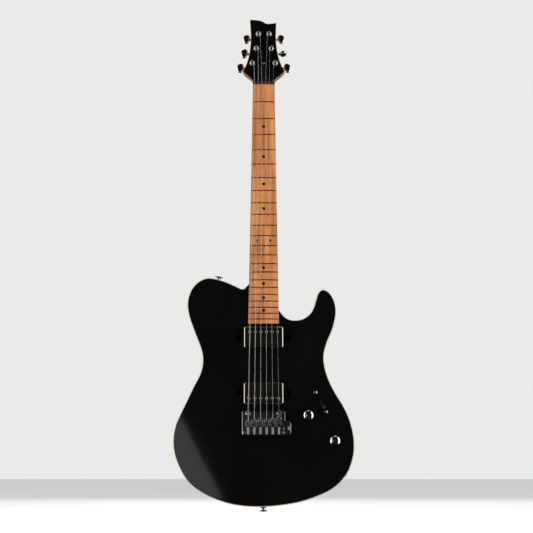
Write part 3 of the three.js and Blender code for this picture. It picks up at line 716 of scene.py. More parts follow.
def at(x: float, z: float, height: float = 0.0, turn: float = 0.0) -> Matrix:
    """A drawing on the guitar's front, moved to a place and turned about its own axis.

    Args:
        x: towards the treble side.
        z: up the neck.
        height: towards the player.
        turn: anticlockwise as the player sees the front, in radians.

    Returns:
        The drawing's place.
    """
    return Matrix.Translation((x, -height, z)) @ FRONT @ Matrix.Rotation(turn, 4, "Z")


def aimed(point: Numbers, way: Numbers) -> Matrix:
    """A drawing whose height runs along a direction from a point, both in the guitar's frame."""
    turn = Vector(way).to_track_quat("Z", "Y").to_matrix().to_4x4()
    return Matrix.Translation(Vector(point)) @ turn


def box_of(node: str) -> tuple[Vector, Vector]:
    """The lowest and highest corners of a plain solid, in millimetres."""
    low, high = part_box(node)
    return low / MM, high / MM


def breadth(loop: Sequence[Vector]) -> float:
    """How wide an outline is."""
    return max(p.x for p in loop) - min(p.x for p in loop)


def loops_on(node: str, y: float, facing: float) -> list[list[Vector]]:
    """The closed outlines of a solid's flat face.

    Args:
        node: the solid's name.
        y: where its face lies.
        facing: 1 for a face that looks to the back and -1 for one that looks to the front.

    Returns:
        The outlines as (x, z) points, the one with the widest box first.
    """
    level, near = 0.99, 0.05
    bm = bmesh.new()
    bm.from_mesh(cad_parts[node].data)
    bmesh.ops.remove_doubles(bm, verts=bm.verts, dist=1e-6)
    facing_it = [f for f in bm.faces if f.normal.y * facing > level]
    flat = {f for f in facing_it if abs(f.calc_center_median().y / MM - y) < near}
    rim = [e for e in bm.edges if sum(f in flat for f in e.link_faces) == 1]
    loops = []
    while rim:
        edge = rim.pop()
        first, vert = edge.verts
        loop = [first, vert]
        while vert is not first:
            edge = next(e for e in rim if vert in e.verts)
            rim.remove(edge)
            vert = edge.other_vert(vert)
            loop.append(vert)
        loops.append([Vector((v.co.x, v.co.z)) / MM for v in loop[:-1]])
    bm.free()
    return sorted(loops, key=breadth, reverse=True)


def curve_through(points: Sequence[Vector], steps: int) -> list[Vector]:
    """A smooth open curve through points, which stays tight where they lie close together.

    Args:
        points: the points.
        steps: how many pieces each span has.

    Returns:
        The curve's points.
    """
    run = [2 * points[0] - points[1], *points, 2 * points[-1] - points[-2]]
    curve = []
    for four in zip(run, run[1:], run[2:], run[3:]):
        knots = [0.0]
        for start, end in zip(four, four[1:]):
            knots.append(knots[-1] + math.sqrt((end - start).length))
        for k in range(steps):
            here = knots[1] + (knots[2] - knots[1]) * k / steps
            level = list(four)
            for spans in (((0, 1), (1, 2), (2, 3)), ((0, 2), (1, 3)), ((1, 2),)):
                shares = [(here - knots[a]) / (knots[b] - knots[a]) for a, b in spans]
                level = [p.lerp(q, share) for p, q, share in zip(level, level[1:], shares)]
            curve.append(level[0])
    return [*curve, points[-1]]


def rounded(low: Numbers, high: Numbers, radius: float, steps: int = 5) -> list[Pair]:
    """A rectangle with round corners.

    Args:
        low: its lowest corner.
        high: its highest corner.
        radius: of the corners.
        steps: how many sides each corner has.

    Returns:
        Its outline, anticlockwise.
    """
    centres = [
        (high[0] - radius, high[1] - radius, 0),
        (low[0] + radius, high[1] - radius, 1),
        (low[0] + radius, low[1] + radius, 2),
        (high[0] - radius, low[1] + radius, 3),
    ]
    return [
        (x + radius * math.cos(a), z + radius * math.sin(a))
        for x, z, quarter in centres
        for a in [math.pi / 2 * (quarter + k / steps) for k in range(steps + 1)]
    ]


def ellipse(width: float, height: float, sides: int = 40, power: float = 2.0) -> list[Pair]:
    """An ellipse's outline, fuller as the power grows.

    Args:
        width: half its width.
        height: half its height.
        sides: how many sides it has.
        power: 2 for a true ellipse.

    Returns:
        Its outline, anticlockwise.
    """
    bend = lambda v: math.copysign(abs(v) ** (2 / power), v)
    turns = [math.tau * k / sides for k in range(sides)]
    return [(width * bend(math.cos(t)), height * bend(math.sin(t))) for t in turns]


def bezier(*points: Numbers, steps: int = 12) -> list[Vector]:
    """A cubic curve's points without its first, from its four control points."""
    a, b, c, d = (Vector(p) for p in points)
    shares = [k / steps for k in range(1, steps + 1)]
    middle = lambda t: 3 * b * t * (1 - t) ** 2 + 3 * c * t * t * (1 - t)
    return [a * (1 - t) ** 3 + middle(t) + d * t**3 for t in shares]


def eased(share: float) -> float:
    """A share held between 0 and 1, with a gentle start and end."""
    held = min(max(share, 0), 1)
    return held * held * (3 - 2 * held)


class Drive(Enum):
    """What turns a screw: its cuts' turns, and their half length and half width in head radii."""

    CROSS = ((0.0, math.pi / 2), 0.52, 0.11)
    SLOT = ((0.5,), 1.2, 0.17)


@dataclass(frozen=True)
class Screw:
    """A screw's head, made to a drawing with its height along the screw."""

    radius: float
    dome: float
    drive: Drive
    rim: float = 0.4
    seat: float = -0.6  # how far it reaches into what it holds
    depth: float = 0.42  # of its cuts, in head radii

    def add(self, form: Form, place: Matrix, paint: int = 0) -> None:
        """Adds the head to a form.

        Args:
            form: the form that takes it.
            place: its place, with height 0 where the head seats.
            paint: the number of its finish.
        """
        r, top = self.radius, self.rim + self.dome
        turns = (0.0, 0.4, 0.8, 1.2)
        arc = [(r * math.cos(a), self.rim + self.dome * math.sin(a)) for a in turns]
        head = Form(*form.finishes)
        head.turned([(0, self.seat), (r, self.seat), *arc, (0, top)], place, 28, paint)
        cuts, long, wide = self.drive.value
        low, high = (-long * r, -wide * r, top - self.depth * r), (long * r, wide * r, top + 1)
        for turn in cuts:
            spot = place @ Matrix.Rotation(turn, 4, "Z")
            head.carve(lambda t: t.block(low, high, spot, paint))
        form.join(head)


# ------------------------------------------------------------------ studio
@dataclass(frozen=True)
class SoftBox:
    """A soft box: its place, the point it lights, its width and height, watts and colour."""

    name: str
    place: Triple
    towards: Triple
    size: Pair
    power: float
    colour: Triple

    def hang(self) -> None:
        """Hangs the box, out of the camera's sight."""
        data = bpy.data.lights.new(self.name, "AREA")
        data.shape, data.size, data.size_y = "RECTANGLE", *self.size
        data.energy, data.color = self.power, self.colour
        light = shown(self.name, data)
        light.location = self.place
        way = Vector(self.towards) - Vector(self.place)
        light.rotation_euler = way.to_track_quat("-Z", "Y").to_euler()
        light.visible_camera = False


WARM, COOL = (1, 0.975, 0.94), (0.97, 0.985, 1)
SOFT_BOXES = (
    SoftBox("box_left", (-1.75, -0.35, -0.3), (0, -0.35, -0.3), (2.0, 3.1), 34, WARM),
    SoftBox("box_right", (1.75, -0.5, -0.3), (0, -0.5, -0.3), (2.5, 3.1), 42, WARM),
    SoftBox("box_top", (0, 0.35, 1.9), (0, 0, -0.4), (2.4, 1.0), 14, COOL),
    SoftBox("box_back", (0, 2.8, 0.9), (0, 0, -0.45), (3.2, 1.6), 24, COOL),
)


@dataclass
class Studio:
    """The camera, a pale floor and the soft lights."""

    eye: Triple = (0.0053, -2.109, -0.725)
    rise: float = 10.0  # degrees above level
    lens: float = 77.65
    floor: float = -0.86
    pale: float = 0.93
    wall: float = 0.82  # brightness of the walls where the camera sees them
    fill: float = 0.74  # and as soft light
    dim: float = 0.008  # and in reflections
    card_y: float = -3.0
    card: Flat = ((-0.378, -0.489), (-0.186, -0.853), (-1.5, -0.853), (-1.5, -0.489))

    def build(self) -> None:
        """Makes the whole studio."""
        self.make_camera()
        self.make_floor()
        self.make_room()
        self.make_lights()

    def make_camera(self) -> None:
        """Sets up the camera in front of the guitar, looking slightly up."""
        data = bpy.data.cameras.new("camera")
        data.lens, data.sensor_width = self.lens, 36
        data.clip_start, data.clip_end = 0.05, 60
        camera = shown("camera", data)
        camera.location = self.eye
        camera.rotation_euler = (math.radians(90 + self.rise), 0, 0)
        bpy.context.scene.camera = camera

    def make_floor(self) -> None:
        """Lays a wide pale floor."""
        bm = bmesh.new()
        bmesh.ops.create_grid(bm, x_segments=8, y_segments=8, size=14)
        bmesh.ops.translate(bm, vec=(0, 0, self.floor), verts=bm.verts)
        mesh = bpy.data.meshes.new("floor")
        bm.to_mesh(mesh)
        bm.free()
        recipe = Recipe("floor_paint")
        cloud = recipe.noise(recipe.place, 1.2)
        low, high = [(v, v, v) for v in (self.pale - 0.02, self.pale + 0.02)]
        recipe.set(Base_Color=recipe.ramp(cloud, (0.3, low), (0.7, high)), Roughness=0.75)
        mesh.materials.append(recipe.material)
        floor = shown("floor", mesh)
        floor.visible_glossy = False

    def make_room(self) -> None:
        """Gives the room pale walls, and keeps them dim in the lacquer."""
        world = bpy.data.worlds.new("room")
        world.use_nodes = True
        tree = world.node_tree
        path = tree.nodes.new("ShaderNodeLightPath")
        strength = None
        for ray, share in (("Is Diffuse Ray", self.fill), ("Is Camera Ray", self.wall)):
            step = tree.nodes.new("ShaderNodeMath")
            step.operation = "MULTIPLY_ADD"
            tree.links.new(path.outputs[ray], step.inputs[0])
            step.inputs[1].default_value, step.inputs[2].default_value = share, self.dim
            if strength:
                tree.links.new(strength, step.inputs[2])
            strength = step.outputs[0]
        wall = tree.nodes["Background"]
        wall.inputs[0].default_value = (1, 0.995, 0.985, 1)
        tree.links.new(strength, wall.inputs[1])
        bpy.context.scene.world = world
        bpy.context.scene.view_settings.view_transform = "Standard"

    def make_lights(self) -> None:
        """Hangs the soft boxes and stands the card."""
        for box in SOFT_BOXES:
            box.hang()
        self.make_card()

    def make_card(self) -> None:
        """Stands a dim card behind the camera, which the lower bout reflects as a grey wedge."""
        form = Form()
        edges = form.ring((x, self.card_y, z) for x, z in self.card)[1]
        bmesh.ops.edgeloop_fill(form.bm, edges=edges)
        card = form.meshed("card")
        recipe = Recipe("card_glow")
        cloud = recipe.noise(recipe.place, 2.0)
        glow = recipe.ramp(cloud, (0.3, (0.9, 0.9, 0.92)), (0.7, (1, 1, 1)))
        recipe.set(Base_Color=(0, 0, 0, 1), Emission_Color=glow, Emission_Strength=0.75)
        card.data.materials.append(recipe.material)
        card.visible_camera = card.visible_shadow = card.visible_diffuse = False


# ------------------------------------------------------------------ body
# Points round the body's side, from the treble side of the neck: percent of its width from the
# middle, and percent of its length down from the upper shoulder.
SIDE = (
    (8.9, 14.5), (11.6, 17.2), (15, 18.7), (18.4, 18.9), (22.2, 18.2), (26, 16), (28.3, 12.7),
    (29.7, 8.8), (31, 6.4), (33.3, 5.2), (36.3, 6.1), (39, 8.8), (40.6, 13), (40.6, 16.7),
    (38.8, 22.7), (35.7, 28.6), (33.8, 34), (33.9, 38.2), (35.5, 43.5), (39.2, 50),
    (45.1, 57.9), (48.6, 65), (50.1, 73), (49.2, 79.5), (45.8, 86), (39, 91.7), (30, 95.4),
    (18, 98.3), (0, 100), (-14, 99.4), (-24.2, 97.4), (-33.1, 94.3), (-40.9, 89.8),
    (-45.8, 84), (-49, 77.7), (-49.9, 71.5), (-48.8, 65.5), (-46.2, 60.4), (-42.6, 54.4),
    (-38.9, 48.2), (-35.2, 42.3), (-34, 37.5), (-34.6, 33), (-39.2, 23.3), (-41.9, 17.2),
    (-42.9, 12.7), (-42.4, 8.5), (-40.2, 4.5), (-36.5, 1.5), (-31.9, 0), (-28.1, 0.2),
    (-22, 1.5), (-15.8, 3.6), (-11.6, 4.9), (-8.6, 2.7),
)


@dataclass
class Body:
    """The solid body: a thin black top with a bare edge, and the wood behind it."""

    front: float = -2.5  # heights
    glue: float = -8.85
    back: float = -46.5
    pocket_floor: float = -19.3
    well_floor: float = -21.5
    cavity_floor: float = -10.2
    cover_recess: float = -44.2
    plate_recess: float = -43.2
    screw_room: float = 6.0
    spring_route: Triple = (32.0, -636.0, -514.45)  # half width, foot, head
    block_route: Triple = (36.5, -658.45, -632.6)
    spring_floor: float = -27.8
    edge: float = 2.1
    level: float = -0.97  # a face of the top that looks to the front more than this is black
    back_edge: float = 5.0
    width: float = 329.8
    length: float = 417.5
    shoulder: float = 374.4
    seam: float = 0.05  # half the gap between the top and the wood behind it
    over: float = 2.0  # how far a cutter passes what it cuts
    tongue: float = 26.0  # half the width of the wood under the neck
    tongue_top: float = 386.9
    neck_foot: float = -470.0
    pocket_top: float = -355.0
    pocket_room: float = 0.3
    side_steps: int = 5

    def build(self) -> None:
        """Makes the top and the wood behind it."""
        self.make_top()
        self.make_core(loops_on("body_core", -self.back, 1)[1:])

    def outline(self) -> list[Vector]:
        """The body's outline: round its side, then straight across the wood under the neck."""
        low, high = box_of("body_core")
        start = -self.shoulder * 100
        place = [Vector((x * self.width, start - down * self.length)) / 100 for x, down in SIDE]
        side = [
            Vector((min(max(p.x, low.x), high.x), min(max(p.y, low.z), high.z)))
            for p in curve_through(place, self.side_steps)
        ]
        x, top = self.tongue, -self.tongue_top
        return [*side, Vector((-x, top)), Vector((x, top)), Vector((x, side[0].y - 3))]

    def rim(self, form: Form, height: float) -> list[Edge]:
        """The edges round one face of a form, without those under the neck.

        Args:
            form: the form.
            height: of the face.

        Returns:
            The edges.
        """
        on_face = lambda v: abs(v.co.y + height) < 0.01
        under = lambda v: abs(v.co.x) < self.tongue + 1 and v.co.z > self.neck_foot
        return form.edges(lambda e: all(on_face(v) and not under(v) for v in e.verts), 60)

    def front_holes(self) -> list[list[Vector]]:
        """The outlines of every hole in the top, widest first, without the top's own outline."""
        return loops_on("body_top", -self.front, -1)[1:]

    def draw_pocket(self, tool: Form) -> None:
        """Draws the neck's pocket on a cutter."""
        taper = NeckShape()
        start, end = self.pocket_top, -taper.heel_end - self.pocket_room
        wide, narrow = [taper.half(-z) + self.pocket_room for z in (end, start)]
        outline = [(-narrow, start), (-wide, end), (wide, end), (narrow, start)]
        tool.prism(outline, self.pocket_floor, self.front + 7, paint=2)

    def make_top(self) -> None:
        """The top plate, its front edge rounded and left in the wood's own colour."""
        form = Form(Finish.TOP_LACQUER, Finish.BARE_EDGE, Finish.ROUTED)
        form.prism(self.outline(), self.glue + self.seam, self.front)
        form.bevel(self.rim(form, self.front), self.edge, 4)
        form.bm.normal_update()
        for face in form.bm.faces:
            face.material_index = 0 if face.normal.y < self.level else 1
        form.carve(self.draw_pocket)
        for hole in self.front_holes():
            low, high = self.glue - self.over, self.front + self.over
            form.carve(lambda t: t.prism(hole, low, high, paint=2))
        form.piece("top_plate", Slot.TOP, "body_top")

    def make_core(self, recesses: Sequence[Sequence[Vector]]) -> None:
        """The wood behind the top, its back edge rounded, with every recess and cavity.

        Args:
            recesses: the outlines of the recesses in the back.
        """
        form = Form(Finish.BODY_LACQUER, Finish.BARE_EDGE, Finish.ROUTED)
        form.prism(self.outline(), self.back, self.glue - self.seam)
        form.bevel(self.rim(form, self.back), self.back_edge, 5)
        form.carve(self.draw_pocket)
        for loop in recesses:
            if breadth(loop) > 2 * self.screw_room:
                plate = max(p.y for p in loop) > -400  # the neck plate's recess, near the neck
                floor, paint = (self.plate_recess, 0) if plate else (self.cover_recess, 2)
                form.carve(lambda t: t.prism(loop, self.back - 1, floor, paint=paint))
        for loop in loops_on("body_core", -self.cover_recess, 1):
            if self.is_cavity(loop):
                form.carve(lambda t: t.prism(loop, self.back - 1, self.cavity_floor, paint=2))
        for (x, foot, head), top, corner in (
            (self.spring_route, self.spring_floor, 5),
            (self.block_route, self.glue + self.over, 2),
        ):
            route = rounded((-x, foot), (x, head), corner)
            form.carve(lambda t: t.prism(route, self.back - 1, top, paint=2))
        for hole in self.front_holes():
            form.carve(lambda t: t.prism(hole, self.well_floor, self.glue + self.over, paint=2))
        form.piece("body_wood", Slot.BODY, "body_core")

    def is_cavity(self, loop: Sequence[Vector]) -> bool:
        """Whether an outline on the recess floor is the control cavity's own."""
        xs = [p.x for p in loop]
        low, high = box_of("control_cover")
        return min(xs) > max(low.x + 3, 40) and max(xs) < high.x - 3


# ------------------------------------------------------------------ neck
@dataclass
class NeckShape:
    """The taper and depth of the neck, shared by everything on it."""

    nut_width: float = 41.8
    end_width: float = 56.6
    scale: float = 628.65
    frets: int = 22
    overhang: float = 8.2
    radius: float = 304.8
    board_top: float = 6.0
    heel: float = 4.0

    @property
    def board_end(self) -> float:
        """Down from the nut to the end of the fretboard."""
        return self.fret(self.frets) + self.overhang

    @property
    def heel_end(self) -> float:
        """Down from the nut to the end of the heel."""
        return self.board_end - self.heel

    def fret(self, number: int) -> float:
        """Down from the nut to a fret."""
        return self.scale * (1 - 2 ** (-number / 12))

    def half(self, down: float) -> float:
        """Half the neck's width at a distance down from the nut."""
        return (self.nut_width + (self.end_width - self.nut_width) * down / self.board_end) / 2

    def fall(self, x: float) -> float:
        """How far the fretboard's top falls off at a distance from its middle."""
        return self.radius - math.sqrt(self.radius**2 - x * x)


@dataclass
class Neck:
    """The neck, its headstock, the fretboard with its frets and dots, the nut and the cover."""

    shape: NeckShape = field(default_factory=NeckShape)
    tilt: float = math.radians(6)
    head_thick: float = 13.0
    head_length: float = 139.0
    head_half: float = 40.5
    depth_at_nut: float = 15.0
    depth_at_heel: float = 17.5
    heel_depth: float = 19.0
    heel_start: float = 375.4
    shaft_length: float = 402.4
    heel_ramp: float = 14.0  # length of the step to the heel
    head_ramp: float = 26.0  # and of the run up to the headstock
    head_thinner: float = 2.4
    roundness: float = 2.35  # power of the ellipse across, and what the heel adds to it
    squareness: float = 9.0
    face_skin: float = 0.7  # keeps the wood behind the headstock's black face
    fret_height: float = 1.1
    fret_width: float = 2.4
    fret_sunk: float = 0.25
    fret_short: float = 0.4
    nut_front: float = 8.4
    nut_long: float = 5.0
    dot: float = 3.0
    twin: float = 11.6

    def head(self) -> Matrix:
        """The headstock's drawing: its face at height 0, its length up from the nut."""
        return Matrix.Rotation(-self.tilt, 4, "X") @ FRONT

    def build(self) -> None:
        """Makes every piece of the neck."""
        self.make_wood()
        self.make_board()
        self.make_frets()
        self.make_dots()
        self.make_nut()
        self.make_cover()

    def section(self, down: float) -> list[Vector]:
        """The neck's outline across, at a distance down from the nut.

        Args:
            down: the distance, negative above the nut.

        Returns:
            Points from one side round the back to the other.
        """
        share = min(max(down / self.shaft_length, 0), 1)
        depth = self.depth_at_nut + (self.depth_at_heel - self.depth_at_nut) * share
        blend = eased((down - self.heel_start + self.heel_ramp) / self.heel_ramp)
        depth += (self.heel_depth - depth) * blend
        power = self.roundness + self.squareness * blend
        depth -= eased((-down - self.nut_long) / self.head_ramp) * self.head_thinner
        sunk = self.face_skin * min(max(-down / 3, 0), 1)
        lean = math.tan(self.tilt) * max(-down - 1, 0) + sunk
        half = self.shape.half(max(down, -1))
        points = []
        for k in range(25):
            turn = math.pi * k / 24
            x = math.copysign(abs(math.cos(turn)) ** (2 / power), math.cos(turn))
            points.append(Vector((half * x, lean + depth * math.sin(turn) ** (2 / power), -down)))
        return points

    def head_outline(self) -> list[Vector]:
        """The headstock's outline, anticlockwise from the nut's bass side."""
        half, top, root = self.head_half, self.head_length, self.shape.nut_width / 2
        right = [Vector((root, 1)), Vector((root, 8))]
        right += bezier((root, 8), (root + 4, 16), (half - 6, 20), (half, 29))
        right += bezier((half, 29), (half - 9, 44), (24, 66), (23.5, top - 34), steps=16)
        right += [Vector((24.5, top - 6.5))]
        crest = bezier((24.5, top - 6.5), (14, top - 9), (5, top - 10), (1, top - 6))
        crest += bezier((1, top - 6), (-4, top - 1), (-16, top - 0.5), (-27, top))
        left = [Vector((-25, top - 34))]
        left += bezier((-25, top - 34), (-25.5, 66), (-half + 9, 44), (-half, 29), steps=16)
        left += bezier((-half, 29), (-half + 6, 20), (-root - 4, 16), (-root, 8))
        return [*right, *crest, *left, Vector((-root, 1))]

    def make_wood(self) -> None:
        """The shaft and the headstock, whose face is lacquered black and whose sides are bare."""
        form = Form(Finish.NECK_MAPLE, Finish.TOP_LACQUER, Finish.ROUTED)
        ramps = (-30, -24, -18, -12, -8, -5, 0), (362, 366, 370, 374, self.heel_start, 392, 420)
        downs = [*ramps[0], *range(20, 360, 34), *ramps[1], self.shape.heel_end]
        form.loft([self.section(d) for d in downs])
        slab = Form(*form.finishes)
        slab.prism(self.head_outline(), -self.head_thick, 0, self.head())
        back, face = [self.head() @ Vector((0, 60, height)) for height in (-self.head_thick, 0)]
        out = (face - back).normalized()
        height = lambda v: (v.co - back).dot(out)
        rear = lambda e: all(height(v) < 0.01 for v in e.verts)
        fore = lambda e: all(height(v) > self.head_thick - 0.01 for v in e.verts)
        slab.bevel(slab.edges(rear, 60), 1.6, 3)
        slab.bevel(slab.edges(fore, 60), 0.9, 2)
        for part in slab.bm.faces:
            part.material_index = 1 if part.normal.dot(out) > 0.99 else 0
        form.join(slab)
        form.piece("neck_wood", Slot.NECK, "neck", sharp=38)

    def slice(self, half: float, z: float, front: float) -> list[Vector]:
        """A cut across a piece on the neck, its front curved across like the fretboard.

        Args:
            half: half its width.
            z: where the cut lies.
            front: the height of its middle.

        Returns:
            The cut's outline.
        """
        across = [half * (2 * j / 14 - 1) for j in range(15)]
        top = [Vector((x, self.shape.fall(x) - front, z)) for x in across]
        return [*top, Vector((half, -0.1, z)), Vector((-half, -0.1, z))]

    def make_board(self) -> None:
        """The fretboard, whose top is rounded across."""
        form = Form(Finish.BOARD_MAPLE)
        downs = [0.1 + (self.shape.board_end - 0.1) * k / 8 for k in range(9)]
        form.loft([self.slice(self.shape.half(d), -d, self.shape.board_top) for d in downs])
        form.bevel(form.front_edges(3), 0.5, 2)
        form.piece("fretboard_wood", Slot.BOARD, "fretboard")

    def make_frets(self) -> None:
        """Fret wires, bent to the fretboard's curve."""
        form = Form(Finish.FRET_WIRE)
        for number in range(1, self.shape.frets + 1):
            down = self.shape.fret(number)
            half = self.shape.half(down) - self.fret_short
            sections = []
            for k in range(11):
                x = half * (2 * k / 10 - 1)
                tall = self.fret_height * (0.55 if k in (0, 10) else 1.0) + self.fret_sunk
                foot = self.shape.fall(x) - self.shape.board_top + self.fret_sunk
                arc = [(math.cos(math.pi * j / 8), math.sin(math.pi * j / 8)) for j in range(9)]
                across = self.fret_width / 2
                sections.append([Vector((x, foot - tall * v, across * u - down)) for u, v in arc])
            form.loft(sections)
        form.piece("fret_wires", Slot.STEEL)

    def make_dots(self) -> None:
        """Position dots on the fretboard and down its bass side."""
        form = Form(Finish.DOT)
        for number in (3, 5, 7, 9, 12, 15, 17, 19, 21):
            down = (self.shape.fret(number) + self.shape.fret(number - 1)) / 2
            for x in (-self.twin, self.twin) if number == 12 else (0,):
                top = self.shape.board_top - self.shape.fall(x)
                disc = [(0, -1), (self.dot, -1), (self.dot, 0), (0, 0.05)]
                form.soften(form.turned(disc, at(x, -down, top), 32), 0.04, 1)
            for shift in (-2.2, 2.2) if number == 12 else (0,):
                half = self.shape.half(down)
                place = aimed((-half, -2.9, -down + shift), (-1, 0, 0))
                form.turned([(0, -1), (1, -1), (1, 0.03), (0, 0.05)], place, 20)
        form.piece("position_dots", Slot.PLASTIC)

    def make_nut(self) -> None:
        """The nut, slotted for each string."""
        form = Form(Finish.BONE)
        half, front = self.shape.nut_width / 2, self.nut_front
        ends = ((0.1, front), (self.nut_long - 0.1, front - 0.9))
        form.loft([self.slice(half, z, height) for z, height in ends])
        form.bevel(form.front_edges(2, 40), 0.5, 3)
        for string in STRINGS:
            x, r = string.nut_x, string.radius + 0.2
            rest = self.nut_front - 1.0 + r
            form.carve(lambda t: t.rod((x, -1, rest), (x, 7, rest - 0.5), r, 12))
            form.carve(lambda t: t.block((x - r, -1, rest), (x + r, 7, 12)))
        form.piece("nut_slotted", Slot.NUT, "nut")

    def make_cover(self) -> None:
        """The truss rod's cover and its screw."""
        form = Form(Finish.GLOSS_PLASTIC, Finish.CHROME)
        base = [Vector(p) for p in ((-10, 6), (10, 6), (7, 49), (-7, 49))]
        outline = []
        for k, corner in enumerate(base):
            ways = [(other - corner).normalized() for other in (base[k - 1], base[(k + 1) % 4])]
            first, last = [corner + way * 4 for way in ways]
            outline += [first, *bezier(first, corner, corner, last, steps=6)]
        form.soften(form.prism(outline, 0.1, 2.0, self.head()), 0.5, 2)
        spot = self.head() @ Matrix.Translation((0, 44.6, 2.0))
        Screw(2.2, 0.5, Drive.CROSS, 0.1).add(form, spot, 1)
        form.piece("rod_cover", Slot.PLASTIC, "truss_rod_cover")


# ------------------------------------------------------------------ strings and tuners
NUT_SPREAD, SADDLE_SPREAD = 35.6, 55.8  # from the first string to the sixth


@dataclass(frozen=True)
class StringSpec:
    """One string, counted from the treble side."""

    number: int
    radius: float
    wound: Finish
    setback: float

    @property
    def share(self) -> float:
        """Its place across the strings, 0.5 on the treble side and -0.5 on the bass side."""
        return 0.5 - (self.number - 1) / 5

    @property
    def side(self) -> int:
        """1 where its tuner stands on the treble side, and -1 on the bass side."""
        return 1 if self.number <= 3 else -1

    @property
    def row(self) -> int:
        """Its tuner's place up the headstock, from 0."""
        return self.number - 1 if self.side > 0 else 6 - self.number

    @property
    def nut_x(self) -> float:
        """Where it crosses the nut."""
        return NUT_SPREAD * self.share

    @property
    def saddle_x(self) -> float:
        """Where it crosses its saddle."""
        return SADDLE_SPREAD * self.share

    @property
    def saddle_z(self) -> float:
        """The front edge of its saddle."""
        return -NeckShape.scale - self.setback


STRINGS = (
    StringSpec(1, 0.125, Finish.PLAIN_STRING, 2.5),
    StringSpec(2, 0.165, Finish.PLAIN_STRING, 5.0),
    StringSpec(3, 0.215, Finish.PLAIN_STRING, 6.8),
    StringSpec(4, 0.33, Finish.WOUND_FINE, 6.0),
    StringSpec(5, 0.455, Finish.WOUND_MIDDLE, 7.8),
    StringSpec(6, 0.585, Finish.WOUND_HEAVY, 9.2),
)


